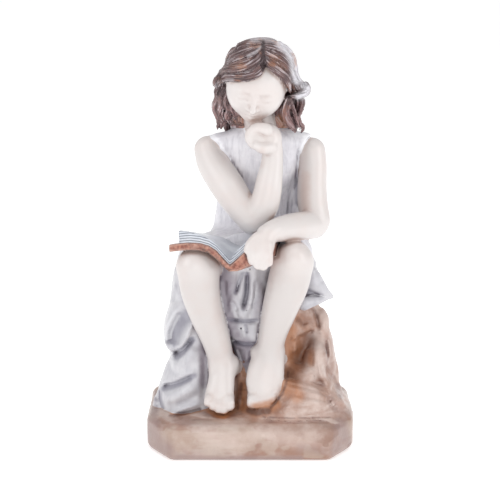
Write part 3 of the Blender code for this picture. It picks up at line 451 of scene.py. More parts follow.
    # bead along armholes and neckline
    def bead(q, loc):
        m = (np.abs(q[:, 0] - 8) > 22) & (q[:, 2] > 190)
        b = np.hypot(loc['dress'], loc['skin']) - np.where(m | (q[:, 2] > 224), 1.0, 0.0)
        b = np.where(m | (q[:, 2] > 222), b, 9.0)
        return smin(loc['dress'], b, 0.5) - loc['dress']
    S.warp('dress', bead, (-45,-30,190), (60,40,250))

PT_L = [(-44,26.6),(-35.8,26.6),(-27,25.5),(-20.7,23.8),(-14.4,21.0),(-9.1,17.0),(-4.6,12.3),(-1.0,8.4),(0,7.4),(1,8.2),(3.4,12.3),(7.9,17.8),(13.2,22.3),(20,25),(34,27)]
PT_F = [(-44,23.4),(-36,23.4),(-27,23.2),(-20,22.2),(-14,20.9),(-9,18.6),(-4.6,16.2),(0,14.8),(3.4,16.4),(8,19.8),(13,22.4),(20,25),(34,27)]
PB = [(-46,16.0),(-38.6,16.9),(-28.7,18.0),(-21.6,17.9),(-15.3,16.4),(-9.9,13.2),(-5.5,8.7),(-1,4.2),(0,3.7),(1.6,4.8),(6.1,8.9),(11.5,14.1),(18,18),(34,20.5)]
CB = [(-46,10.8),(-38.6,12.0),(-28.7,13.4),(-21.6,13.4),(-15.3,11.6),(-9.9,7.6),(-5.5,3.2),(-1,-0.2),(0,-0.6),(5.3,-0.3),(9,1),(16,5),(24,9),(34,12)]
BOOK_T = 42.0
def book(S):
    G0 = np.array(w(229.5,270.5,-61)); et = unit((0.17, 0.975, -0.175)); es = unit(np.cross(et, (0,0,1.0))); en = np.cross(es, et)
    def tab(T):
        xs = np.array([a for a, b in T]); ys = np.array([b for a, b in T])
        return lambda s: np.interp(s, xs, ys)
    pt0, pt1, pb, cb = tab(PT_L), tab(PT_F), tab(PB), tab(CB)
    def loc(q):
        d = q - G0; return d @ es, d @ et, d @ en
    def slope(fn, s, *a): return np.sqrt(1 + (fn(s + .6, *a) - fn(s - .6, *a)) ** 2 / 1.44)
    def ptop(s, t):
        m = sstep(0, 1, np.clip(t / BOOK_T, 0, 1)); return pt0(s) * (1 - m) + pt1(s) * m
    def pages(q):
        s, t, n = loc(q); a, b = ptop(s, t), pb(s)
        h = (n - b) / np.maximum(a - b, 1)
        lay = np.abs((((n - b) / 1.75 + 0.12 * np.sin(s * .25)) % 1.0) - 0.5) * 2   # 1 at the groove
        g = sstep(0.55, 1.0, lay)
        edge = sstep(2.2, 0.2, t) + sstep(-34.5, -37.2, s) + sstep(BOOK_T-2.2, BOOK_T-.2, t)
        d = smax(smax((n - a) / slope(ptop, s, t), (b - .5 - n) / slope(pb, s), .5), smax(smax(-37.6 - s + 1.2 * (1 - h), s - 27, .5), smax(-t + 0.4 * (1 - h), t - BOOK_T, .5), .5), .6)
        return d + 0.55 * g * np.clip(edge, 0, 1) * sstep(0.02, 0.1, h) * sstep(1.0, 0.9, h)
    def cover(q):
        s, t, n = loc(q); a, b = pb(s) + .2, cb(s)
        d = smax(smax((n - a) / slope(pb, s), (b - n) / slope(cb, s), .8), smax(smax(-43.4 - s, s - 30, .8), smax(-t - 1.8, t - BOOK_T - 1.8, .8), .8), .9)
        return d
    def marks(q):
        s, t, n = loc(q); a, b = ptop(s, t), pb(s)
        h = (n - b) / np.maximum(a - b, 1)
        return h, (n - b) / 1.75 + 0.12 * np.sin(s * .25), np.clip(sstep(2.6, 0.9, t) + sstep(-34.4, -36.0, s) + sstep(BOOK_T - 2.4, BOOK_T - .9, t), 0, 1)
    S.page_marks = marks
    P = [G0 + es * s + et * t + en * n for s in (-46, 32) for t in (-3, 46) for n in (-3, 30)]
    lo, hi = np.min(P, 0), np.max(P, 0)
    S.ops.append(('pages', 'add', pages, lo, hi, 0.3)); S.ops.append(('cover', 'add', cover, lo, hi, 0.3))
    # under the book nothing of the cloth pokes through the pages
    def clear(q, locd):
        s, t, n = loc(q); a = ptop(s, t)
        inside = np.minimum(np.minimum(s + 37, 24 - s), np.minimum(t - .5, BOOK_T - 1 - t))
        d = np.minimum(inside, n - (a - 1.2))         # > 0 where cloth must go
        return smax(locd['dress'], np.where(inside > -3, d, -9), 1.0) - locd['dress']
    S.warp('dress', clear, lo, hi)

def rock(S):
    def base(q):
        x = np.abs(q[:, 0]); y = np.abs(q[:, 1] - 2.0)
        rz = 5.0
        lean = 1.2 * sstep(20, 27, q[:, 2])
        hx, hy = 75.75 - lean, 59.75 - lean
        d1 = x - (hx - rz); d2 = y - (hy - rz)
        d3 = (x - (hx - 17)) * 0.837 + (y - hy) * 0.547 + rz
        dxy = smax(smax(d1, d2, 4), d3, 3)
        dz = np.abs(q[:, 2] - 13.3) - (13.3 - rz)
        out = np.sqrt(np.maximum(dxy, 0) ** 2 + np.maximum(dz, 0) ** 2) + np.minimum(np.maximum(dxy, dz), 0) - rz
        return out + 0.35 * noise3(q, 3, 34) * sstep(0.5, 5, q[:, 2])
    S.ops.append(('rock', 'add', base, np.array((-80, -62, -2.)), np.array((80, 66, 30.)), 1.5))
    S.add('rock', tube([(6,16,18,66,40), (8,16,40,59,37), (9,15,62,53,34), (8,15,84,47,32), (6,18,104,43,33), (4,22,122,39,32), (4,25,134,35,29)], (0,1,0), n=14), 6)
    S.add('rock', ell((0,-30,22), (46,18,9)), 6)
    S.add('rock', chain([wr(316,322,6,8.5), wr(315,338,6,11.5), wr(315.5,352,7,12.8), wr(317.5,368,7,14.3), wr(320.5,384,6,15.2), wr(326.5,398,4,14.4), wr(331,411,0,13.5)]), 6)
    S.add('rock', tube([(30,-3,20,47,50), (31,-1,27,45,47), (33,4,36,37,35), (34,9,47,28,24)], (0,1,0), n=12), 5)
    S.add('rock', chain([w(312,358,-12)+(12,), w(305,380,-18)+(13,), w(293,402,-22)+(11,), w(280,414,-26)+(6,)]), 6)
    S.cut('rock', chain([w(280,370,-48)+(14,), w(276,383,-50)+(16,), w(273,393,-52)+(16.5,), w(268,402,-55)+(14,)]), 3)
    R = lambda pts, wd, h, **k: stroke(S, 'rock', [w(*p) for p in pts], wd, h, **k)
    R([(302,335,-16),(305,346,-18),(303,358,-20),(297,371,-22)], 8.0, -5.5, y1=20)
    R([(313.6,342,-14),(313.8,354,-16),(313,366,-18)], 2.4, 1.4, y1=20)
    R([(300,338,-16),(306,339,-16),(312,342,-15)], 2.6, 0.6, y1=20)
    R([(297,318,-14),(303,322,-14),(305,329,-14)], 3.0, -2.2, y1=20)
    R([(300,330,-14),(308,333,-14),(314,336,-13)], 2.4, -1.2, y1=20)
    R([(309,310,-14),(314,317,-14),(318,326,-13),(319,334,-13)], 1.6, -1.8, y1=20)
    R([(321,314,-10),(325,320,-8),(324,328,-8),(319,338,-11)], 2.6, 1.6, y1=20)
    R([(317.5,338,-12),(317,352,-13),(320,368,-14),(327,380,-13),(333,384,-12)], 3.0, 3.0, y1=20)
    R([(326,340,-6),(327,348,-6),(328,358,-6)], 1.2, -1.3, y1=20)
    R([(322,356,-8),(326,368,-8),(334,380,-9),(340,393,-10)], 1.8, -1.4, y1=20)
    R([(330,390,-10),(334,395,-12)], 3.2, 1.6, y1=20)
    R([(326,386,-12),(329.5,397,-14),(337,402,-16)], 1.4, -1.3, y1=20)
    R([(291,334,-18),(289.5,346,-20),(292,357,-20),(289,368,-20)], 1.8, -1.4, y1=20)
    R([(295.5,336,-18),(296.5,348,-20),(294,358,-20)], 1.6, 1.3, y1=20)
    R([(300,372,-24),(296,384,-26),(288,396,-30),(281,406,-34)], 2.2, 1.4, y1=20)
    R([(302,384,-26),(301,396,-30)], 1.4, -1.0, y1=20)
    R([(255,416.6,-40),(285,418,-44),(318,417.4,-40),(350,417,-20)], 0.9, -0.9, y0=-90, y1=-8)
    R([(150,420,-40),(172,421.5,-44),(205,420,-44),(240,421,-44)], 0.9, -0.6, y0=-90, y1=-8)
    S.cut('rock', ell(w(290.2,351.6,-24), (0.8, 8, 0.8)), 0.3)
    S.cut('rock', ell(w(263,436,-58), (0.8, 1.6, 0.7)), 0.3)
    def craggy(q, loc):
        a = np.arctan2(q[:, 1] - 15, q[:, 0] - 6); z = q[:, 2]
        m = sstep(26, 34, z)
        s = np.stack([np.cos(a) * 46, np.sin(a) * 46, z * 0.55], 1)
        n1 = noise3(s, 11, 30); n2 = noise3(s, 12, 13)
        return -m * (2.2 * n1 + 0.9 * n2)
    S.warp('rock', craggy, (-80,-60,24), (80,70,140))

def clip(S):
    lo, hi = np.array((-90,-90,-40.)), np.array((90,90,12.))
    for g in ('rock','dress'): S.ops.append((g,'keep',lambda q: -q[:,2], lo, hi, 0.0))

def lock(S, rows, a, b, groove=0.4, strands=8, ph=0.0, k=0.8, c=None, tip=0.35):
    rows = np.asarray(rows, float); n = len(rows)
    t = np.linspace(0, 1, n)
    wdt = a * (0.75 + 0.25 * np.sin(np.minimum(t * 2.2, 1) * math.pi / 2)) * np.where(t > .7, 1 - (1 - tip) * (np.maximum(t - .7, 0) / .3) ** 1.5, 1)
    rr = np.column_stack([rows, wdt, wdt * b / a])
    centre = H(0, 6, 0) if c is None else c
    S.add('hair', tube(rr, ('c', centre), n=3 * (n - 1) + 1, groove=groove, strands=strands, phase=ph), k)
    S.locks.append((spline(rr, 6 * (n - 1) + 1), np.asarray(centre, float)))

def strands(S, q):
    """how far round its lock and how far along it each point lies, mm"""
    P, N, B, A, L = [], [], [], [], []
    for i, (r, c) in enumerate(S.locks):
        t = np.gradient(r[:, :3], axis=0); t /= np.linalg.norm(t, axis=1)[:, None]
        n = r[:, :3] - c; n = n - (n * t).sum(1)[:, None] * t; n /= np.linalg.norm(n, axis=1)[:, None]
        P.append(r[:, :3]); N.append(n); B.append(np.cross(t, n)); A.append(r[:, 3])
        L.append(np.concatenate([[0], np.cumsum(np.linalg.norm(np.diff(r[:, :3], axis=0), axis=1))]) + 37.0 * i)
    P, N, B, A, L = np.vstack(P), np.vstack(N), np.vstack(B), np.concatenate(A), np.concatenate(L)
    round_, along = np.zeros(len(q)), np.zeros(len(q))
    for k in range(0, len(q), 4000):
        d = q[k:k + 4000, None] - P[None]
        j = ((d ** 2).sum(2) / (A[None] ** 2)).argmin(1)
        o = d[np.arange(len(j)), j]
        psi = np.arctan2((o * N[j]).sum(1), (o * B[j]).sum(1))
        round_[k:k + 4000] = psi * A[j]; along[k:k + 4000] = L[j]
    return round_, along

def hair(S):
    S.add('hair', hell((0,5,7.6), (25.0,27.0,21.8)), 3)
    S.cut('hair', hell((0,-24,-9), (22.5,21,24)), 2)
    S.cut('hair', chain([oh(u, v, 1.0) + (5.2,) for u, v in ((230,88),(240,87.5),(250,86.5),(258,82),(264,75),(271,80),(279,85),(285,91))]), 1.0)
    for p in ([(223,94,3),(222.5,106,6),(224,118,8)], [(296,92,-4),(295.5,104,0),(291,119,3)], [(228,100,1),(229,112,4)]):
        S.add('hair', chain([wr(*q, 4.2) for q in p]), 3)
    # back hair shows as a band over the crown
    lock(S, [oh(u, v, o) for u, v, o in ((239,45.5,-.6),(248.5,42.6,.6),(261,41,1.2),(273,42.2,.8),(281.5,47,-.6))], 4.0, 2.6, ph=1.0)
    # left of the parting: locks that sweep over the brow, lowest first
    Lk = [
     [(264,60),(261.6,67.5),(256.5,73.2),(248.5,76.4),(239,77.2),(230,77),(223,79),(218,84)],
     [(263,57),(258.5,65),(250.5,70.6),(241,73),(231.5,73.6),(223.5,75.6),(217.5,79.6),(215.2,84),(217.5,88)],
     [(262.6,53.5),(256.5,61),(247.8,66.4),(238,69),(229,70.4),(221.5,73),(217.5,78)],
     [(262.2,50.5),(254.8,57),(245.6,62),(236,65),(227.5,67.2),(221,70.5)],
     [(262,48),(252.8,52.8),(243.4,57.3),(234.4,60.8),(226.5,64.8)],
     [(261.5,45.8),(250.8,48.8),(241.6,52.8),(233.6,56.8),(228,60.5)],
     [(260,43.8),(249,44.8),(240.5,47.6),(233.5,52)]]
    for i, p in enumerate(Lk):
        off = (3.9, 2.2, 3.9, 2.3, 3.6, 2.1, 2.8)[i]
        lock(S, [oh(u, v, off + (0.4 * math.sin(2.1 * j + i) if j > 0 else -1.2)) for j, (u, v) in enumerate(p)], 3.6, 3.0, ph=i * 1.3, groove=0.75, strands=9, k=0.45)
    # right of the parting
    Rk = [
     [(265,61),(270.5,65.2),(277.5,70.2),(284,75.4),(288.3,83),(290.3,92)],
     [(265.2,57.5),(272,61.6),(279.5,66.6),(286.5,73),(291,81),(294.5,90)],
     [(265,53.5),(273,57.2),(281.5,62.3),(288.3,69.5),(293,79),(299,87),(305,89)],
     [(264.8,50),(273.5,52.8),(282.5,57.8),(289.3,65.5),(293.5,75)],
     [(264.5,46.8),(273,48.2),(282,52.3),(288.5,58.8),(292.5,67)],
     [(264,44),(272.5,44.5),(281,47.8),(287.5,53.5)]]
    for i, p in enumerate(Rk):
        off = (3.4, 2.0, 3.7, 2.2, 3.4, 2.0)[i]
        lock(S, [oh(u, v, off + (0.4 * math.sin(1.9 * j + i) if j > 0 else -1.2)) for j, (u, v) in enumerate(p)], 3.6, 3.0, ph=2 + i * 1.7, groove=0.75, strands=9, k=0.45)
    S.cut('hair', chain([oh(u, v, 4.6) + (1.5,) for u, v in ((263.4,42.5),(262.6,50),(263.6,57),(263.6,63),(262.4,69.5))]), 1.2)
    # outer right band that ends in the flick
    lock(S, [oh(279,44.5,2.6), oh(286.5,50,3.2), oh(291.5,58,3.4), w(293.5,67,-20), w(294.3,75,-22), w(297.5,82,-23), w(302.5,86.3,-24), w(306,87.5,-25), w(305.5,92,-26), w(300,95.2,-26), w(293,96,-26)], 4.0, 3.4, ph=.7, groove=0.7, strands=8, k=0.5, tip=0.6)
    lock(S, [w(291,78,-22), w(295,85,-24), w(300,89.5,-26), w(304.5,90.5,-27), w(307,87.5,-27), w(308.3,84.6,-26)], 2.8, 2.6, ph=2.7, groove=0.6, strands=7, k=0.5)
    low = [
     ([(221,84,-14),(217.5,91,-10),(218.5,98,-6),(215.5,106,-1),(217.5,113,2),(219.5,120,4),(217,129,5)], 3.4, 3.2),
     ([(225,88,-13),(221.5,97,-10),(222.5,105,-5),(220.8,112,0),(223.5,120,2),(221,128,3)], 3.2, 3.2),
     ([(229,92,-14),(226.5,101,-11),(229.5,109,-7),(227.5,116,-3),(229,123,-2)], 3.2, 3.0),
     ([(233,96,-13),(232.5,106,-10),(235.5,113,-7),(234.5,120,-5)], 3.2, 2.8),
     ([(237,103,-12),(238,111,-9),(241,117,-7)], 2.8, 2.4),
     ([(288.5,98,-20),(286.5,106,-17),(286.5,114,-13),(290.5,122,-10),(296,131,-7)], 5.6, 3.0),
     ([(284,102,-15),(281,110,-11),(284.5,119,-8),(290,128,-5)], 3.6, 3.0),
     ([(290.5,98,-22),(292.5,106,-19),(295.2,114,-15),(297,121,-12),(300,130,-9)], 1.7, 1.9),
     ([(302,96,-20),(302.5,103,-16),(300.5,110,-12),(297.8,116,-9),(299,122,-7),(303,128,-5),(301,133,-4)], 2.4, 2.4),
     ([(298,96,-16),(299.5,104,-12),(297.5,112,-8),(295,120,-5),(297,128,-2)], 3.0, 3.0)]
    for i, (p, a, b) in enumerate(low):
        lock(S, [w(*q) for q in p], a, b, ph=i * 2.1, c=(7, -2, 245), groove=0.9, strands=7, k=0.35)
    # inner mass and back
    S.add('hair', tube([tuple(H(0,13,-2))+(21.5,13), tuple(H(0,17,-13))+(21.5,11), (6.5,6,240,22,8.5), (7,10,230,20,6)], (0,1,0.2), n=8), 3)
    for i in range(11):
        x = -22 + 4.4 * i; e = 1 - (x / 30) ** 2
        ph = i * 1.9
        pts = [tuple(H(x * .18, 5, 28.0)), tuple(H(x * .62, 17, 24.0 * e + 1)), tuple(H(x * .95, 26 * math.sqrt(e) + 2, 9)), tuple(H(x * 1.06, 27.5 * math.sqrt(e) + 1, -8)),
               (6 + x * 1.02 + 1.6 * math.sin(ph), 14 * math.sqrt(e) + 2.5, 244), (6.5 + x * 1.05 - 1.6 * math.sin(ph), 15 * math.sqrt(e) + 3.5, 233), (7 + x * 1.02 + 1.2 * math.sin(ph), 15 * math.sqrt(e) + 5.0, 223 + 3 * math.cos(ph * 2))]
        lock(S, pts, 4.4, 3.2, ph=ph, c=tuple(H(0, 4, 0)), groove=0.6, strands=9, k=0.5)


# ---- skin the sculpt
def normals_of(v, t):
    n = np.cross(v[t[:, 1]] - v[t[:, 0]], v[t[:, 2]] - v[t[:, 0]])
    out = np.stack([np.bincount(t.reshape(-1), np.repeat(n[:, i], 3), len(v)) for i in range(3)], 1)
    return out / np.maximum(np.linalg.norm(out, axis=1, keepdims=True), 1e-9)


def mesh_arrays(me):
    me.calc_loop_triangles()
    v = np.empty(len(me.vertices) * 3, np.float32); me.vertices.foreach_get("co", v)
    t = np.empty(len(me.loop_triangles) * 3, np.int32); me.loop_triangles.foreach_get("vertices", t)
    return v.reshape(-1, 3).astype(float) * 1000 - SHIFT, t.reshape(-1, 3)


def sculpt_mesh():
    S = build()
    v, quads = surface_nets(S, (-82, -76, -4), (82, 68, 308), GRID)
    v = project(S, v, 2)
    # the underside is flat and lies at z = 0
    v[:, 2] = np.where(v[:, 2] < 0.4, 0.0, v[:, 2])
    me = bpy.data.meshes.new("reading_woman")
    me.vertices.add(len(v)); me.vertices.foreach_set("co", ((v + SHIFT) / 1000).astype(np.float32).reshape(-1))
    me.loops.add(quads.size); me.loops.foreach_set("vertex_index", quads.astype(np.int32).reshape(-1))
    me.polygons.add(len(quads)); me.polygons.foreach_set("loop_start", np.arange(0, quads.size, 4, dtype=np.int32))
    me.update(calc_edges=True); me.validate()
    ob = bpy.data.objects.new("reading_woman", me)
    bpy.context.scene.collection.objects.link(ob)
    # fewer faces where the form is plain
    faces = len(quads) * 2
    print("faces before thinning", faces)
    if faces > MOST_TRIANGLES:
        m = ob.modifiers.new("thin", "DECIMATE")
        m.ratio = MOST_TRIANGLES / faces
        dg = bpy.context.evaluated_depsgraph_get()
        new = bpy.data.meshes.new_from_object(ob.evaluated_get(dg))
        ob.modifiers.clear()
        old = ob.data; ob.data = new; bpy.data.meshes.remove(old); new.name = "reading_woman"
    me = ob.data
    me.shade_smooth()
    # what the paint reads: how far each point is inside each colour's territory, and how hollow or proud it is, which
    # sets painted shade in hollows and painted highlights on ridges
    v, t = mesh_arrays(me)
    n = normals_of(v, t)
    L = S.groups(v)
    D = np.stack([L[g] for g in S.order], 1)
    for i, g in enumerate(S.order):
        other = np.delete(D, i, 1).min(1)
        put(me, "in_" + g, np.clip(other - D[:, i], -6, 6))
    f = lambda r: S.field(v + n * r)
    put(me, "hollow_fine", np.clip(1 - f(1.0) / 1.0, 0, 1))
    put(me, "hollow", np.clip(1 - f(3.0) / 3.0, 0, 1))
    put(me, "hollow_wide", np.clip(1 - f(8.0) / 8.0, 0, 1))
    put(me, "proud", np.clip(1 + f(-1.6) / 1.6, 0, 1))
    h, leaf, edge = S.page_marks(v)
    put(me, "page_h", np.clip(h, -1, 2)); put(me, "page_leaf", np.clip(leaf, -1, 12)); put(me, "page_edge", edge)
    for name, strokes in DAUBS.items():
        put(me, name, daub(v, n, strokes))
    turn, run = np.zeros(len(v)), np.zeros(len(v))
    hair = np.flatnonzero(L["hair"] < 1.5)
    turn[hair], run[hair] = strands(S, v[hair])
    put(me, "strand_round", turn); put(me, "strand_along", run)
    return ob


def put(me, name, values):
    a = me.attributes.get(name) or me.attributes.new(name, "FLOAT", "POINT")
    a.data.foreach_set("value", np.asarray(values, np.float32))


# ---- where washes of colour, painted shade and painted highlights lie: name -> strokes of (path seen from the front, radius in mm, strength)
DAUBS = {
    "wash_orange": [
        ([(245,372),(243,382),(241.5,395),(240,406)], 4.0, .9), ([(253,407),(260,406),(268,404.5),(274,401)], 3.4, .9), ([(300,342),(297,358),(291,374),(287,388)], 8.0, .8), ([(244,408),(256,412),(266,411),(276,404)], 4.0, .9),
        ([(290,352),(288.5,366),(287,380),(281,394)], 3.0, .8), ([(205,408),(213,413.5),(223,417),(234,411)], 2.0, .8),
        ([(279,118),(283,127)], 3.4, .8), ([(292,330),(290,345),(291,360)], 5.0, .9), ([(288,372),(293,384),(297,396)], 6.0, .7), ([(172,414),(186,412),(202,408)], 2.4, .9), ([(310,352),(311,362)], 3.6, .7),
        ([(237,364),(240,372)], 1.6, .4), ([(233,66),(242,62)], 3.5, .35), ([(276,60),(284,68)], 4.0, .4), ([(293,362),(289,378),(296,372)], 4.0, .7), ([(296,318),(306,330)], 5.0, .5)],
    # umber: dark brown paint, with painted shade under the hem and the feet, between the feet, in the parting, in the
    # rock's hollow and along the base's top edge
    "umber_and_shade": [
        ([(249,410.5),(256,412.5),(263,411.5),(268,411)], 2.8, 1.0), ([(307,338),(306,350),(302,362),(294,378)], 7.0, .55), ([(263.4,42.5),(262.7,50),(263.6,57),(263.6,63),(262.5,70)], 1.3, 1.0), ([(303,101),(301,112)], 3.0, .5), ([(170,416.5),(184,413.5),(200,409)], 1.4, 1.0),
        ([(241,384),(239.5,396),(238,408)], 1.8, .7), ([(288,372),(286,384),(282,394),(274,404),(269,409)], 1.3, .8), ([(298,320),(304,325)], 3.0, .5), ([(317.5,316),(319,327)], 1.4, .6), ([(326.6,344),(327,353)], 1.0, .7),
        ([(262,417),(290,418.3),(330,417.6)], 0.9, .6), ([(313,344),(313.4,365)], 1.2, .5), ([(172,420.5),(205,419.5),(240,420)], 0.8, .4)],
    "wash_line": [([(186,245.5),(198,247.8),(208,252.5),(217,260),(224,267),(229,270.5)], 0.7, .9), ([(187,256),(200,257.6),(212,264),(220,270)], 0.9, .9), ([(229.5,266),(237,259),(244,251)], 0.6, .8)],
    # mauve: mauve paint, with painted shade between the legs, behind the left drape, in the rock's hollow and at the
    # base's ends and lower edge
    "mauve_and_shade": [
        ([(150,425),(152,445),(165,452)], 8.0, 1.0), ([(165,457),(220,459.5),(300,459)], 3.0, .9), ([(340,425),(346,440),(336,452)], 6.0, .8),
        ([(157,394),(155,404),(154,414)], 3.4, 1.0), ([(225,272),(226,298),(229,330)], 6.0, 1.0), ([(233,278),(233,292)], 3.6, .6), ([(236,348),(245,346),(252,352),(246,362)], 6.5, 1.0), ([(233,322),(237,334)], 4.0, .8),
        ([(203,348),(204,366),(203,384)], 4.0, .8), ([(258,284),(259,304),(257,316)], 4.0, .55), ([(305,345),(302,352)], 5.0, .8), ([(338,386),(341,396)], 3.0, .7), ([(330,398),(336,408),(345,412)], 4.0, .5), ([(327,340),(328,360),(333,376)], 3.5, .5), ([(175,450),(230,453)], 4.0, .4), ([(300,448),(325,452)], 4.0, .5)],
    "wash_shade": [
        ([(187,316),(181,322.5),(175,332),(172,341)], 5.4, 1.0), ([(192.5,339.5),(187,347),(182,353),(177,357)], 2.4, 1.0), ([(194,375.5),(186,380.5),(176,385.5),(164,388.5)], 2.4, .9),
        ([(182,279),(184,294),(187,305)], 3.0, .5), ([(160.5,390),(160,398),(163,408)], 1.6, .8), ([(198,391),(188,399),(178,403)], 3.2, .4), ([(171,357.5),(177,360)], 2.0, .5),
        ([(247.4,274),(247,288),(245.8,300),(243.4,309)], 1.8, .9), ([(243,274),(238.8,284),(235.4,293)], 1.8, .7), ([(229,319.5),(243,321.2),(257,320.2)], 1.6, .8), ([(231,341),(244,344),(257,342.5)], 2.0, .8),
        ([(303,289),(309,291.5)], 2.6, .8), ([(311,291.5),(322,294.5)], 1.3, .5), ([(206,160),(218,176),(232,196)], 1.6, .6), ([(298.5,150),(297.5,178),(297,205)], 1.5, .7), ([(288,176),(287,205)], 1.0, .4), ([(222,208),(221,222)], 1.2, .4), ([(245.5,324),(246.8,333)], 1.4, .7), ([(176,286),(172,300)], 2.4, .5), ([(310,272),(312,284)], 3.0, .4), ([(304,309),(316,304)], 2.0, .5)],
    # pale: a pale lilac band over the hair's crown and right side, painted highlights on the rock's ridges and mound,
    # and pale patches across the base's front
    "pale_and_highlight": [
        ([(318,335),(317,352),(319,370)], 4.4, 1.0), ([(324,316),(326,326)], 4.4, .9), ([(304,384),(312,392),(318,404)], 7.0, .5), ([(270,432),(300,440),(315,434)], 8.0, .8), ([(205,436),(240,442),(262,430)], 7.0, .7),
        ([(244,424),(212,425)], 3.0, .6), ([(281,43.5),(289,50),(294,59),(296,70),(297.5,80)], 4.0, 1.0), ([(304,85),(308,89),(306,94),(299,97)], 3.2, .9),
        ([(252,40),(264,38.5),(274,40.5)], 2.4, .5), ([(248,56),(256,52),(261,47)], 1.4, .5), ([(232,80),(222,82),(216,86)], 2.0, .4)],
    # warm: painted shade on the skin, inside the arms, under the chin and fist, in creases and down the inner shins
    "warm_shade": [
        ([(303,146),(302,160),(303,175)], 4.0, .5), ([(304.5,176),(305,192),(305,208)], 4.6, .8), ([(222,146),(226,160)], 3.4, .4), ([(238,118),(246,124),(243,132)], 5.0, .5),
        ([(262,150),(261,165)], 3.0, .4), ([(243,204),(252,214)], 4.0, .3), ([(280,246),(272,262)], 4.5, .4), ([(279,355),(281,345)], 4.0, .35), ([(207,408),(214,410)], 2.0, .5), ([(213,300),(220,330),(226,350)], 4.0, .35)],
}


def daub(v, n, strokes):
    """How strongly each point is covered by the strokes, 0 to 1; only what faces the front takes them."""
    out = np.zeros(len(v))
    facing = sstep(0.35, -0.1, n[:, 1])
    for path, radius, strength in strokes:
        d2 = np.full(len(v), 1e9)
        # seen from the camera: compare directions, not places
        d = v - EYE
        k = CAM_F / (d @ VIEW)
        u0, v0 = 250 + k * d[:, 0], CAM_V0 - k * (d @ VUP)
        q = np.stack([u0, v0], 1)
        path = np.array(path, float)
        for a, b in zip(path[:-1], path[1:]):
            ab = b - a
            h = np.clip(((q - a) @ ab) / (ab @ ab), 0, 1)
            d2 = np.minimum(d2, ((q - a - ab * h[:, None]) ** 2).sum(1))
        px = radius * CAM_F / CAM_FAR
        out = np.maximum(out, strength * facing * sstep(1.8 * px, 0.1 * px, np.sqrt(d2)))
    return out


# ---- painted resin
class Paint:
    """Short hands for nodes."""
    def __init__(self, mat):
        self.t = mat.node_tree; self.t.nodes.clear()
    def node(self, kind, **kw):
        n = self.t.nodes.new(kind)
        for k, x in kw.items(): setattr(n, k, x)
        return n
    def set(self, socket, x):
        if isinstance(x, bpy.types.NodeSocket): self.t.links.new(x, socket)
        elif isinstance(x, (tuple, list)) and len(x) == 3 and len(socket.default_value) == 4: socket.default_value = (*x, 1.0)
        else: socket.default_value = x
    def attr(self, name): return self.node("ShaderNodeAttribute", attribute_name=name).outputs["Fac"]
    def math(self, op, a, b=0.0, c=0.0, clamp=False):
        n = self.node("ShaderNodeMath", operation=op, use_clamp=clamp)
        for s, x in zip(n.inputs, (a, b, c)): self.set(s, x)
        return n.outputs[0]
    def ramp(self, x, lo, hi, a=0.0, b=1.0):
        n = self.node("ShaderNodeMapRange", interpolation_type="SMOOTHSTEP")
        for k, val in (("Value", x), ("From Min", lo), ("From Max", hi), ("To Min", a), ("To Max", b)): self.set(n.inputs[k], val)
        return n.outputs["Result"]
    def mix(self, fac, a, b, mode="MIX"):
        n = self.node("ShaderNodeMix", data_type="RGBA", blend_type=mode)
        self.set(n.inputs["Factor"], fac)
        self.set(n.inputs[6], a); self.set(n.inputs[7], b)
        return n.outputs[2]
    def place(self, scale=(1, 1, 1)):
        m = self.node("ShaderNodeMapping"); self.set(m.inputs["Vector"], self.node("ShaderNodeTexCoord").outputs["Object"])
        m.inputs["Scale"].default_value = scale
        return m.outputs[0]
    def noise(self, mm, detail=3.0, rough=0.55, stretch=(1, 1, 1), distort=0.0, seed=0.0):
        n = self.node("ShaderNodeTexNoise")
        self.set(n.inputs["Vector"], self.place(tuple(s for s in stretch)))
        m = n.inputs["Vector"].links[0].from_node; m.inputs["Location"].default_value = (seed, seed * 0.7, seed * 0.3)
        n.inputs["Scale"].default_value = 1000.0 / mm; n.inputs["Detail"].default_value = detail
        n.inputs["Roughness"].default_value = rough; n.inputs["Distortion"].default_value = distort
        return n.outputs["Fac"]


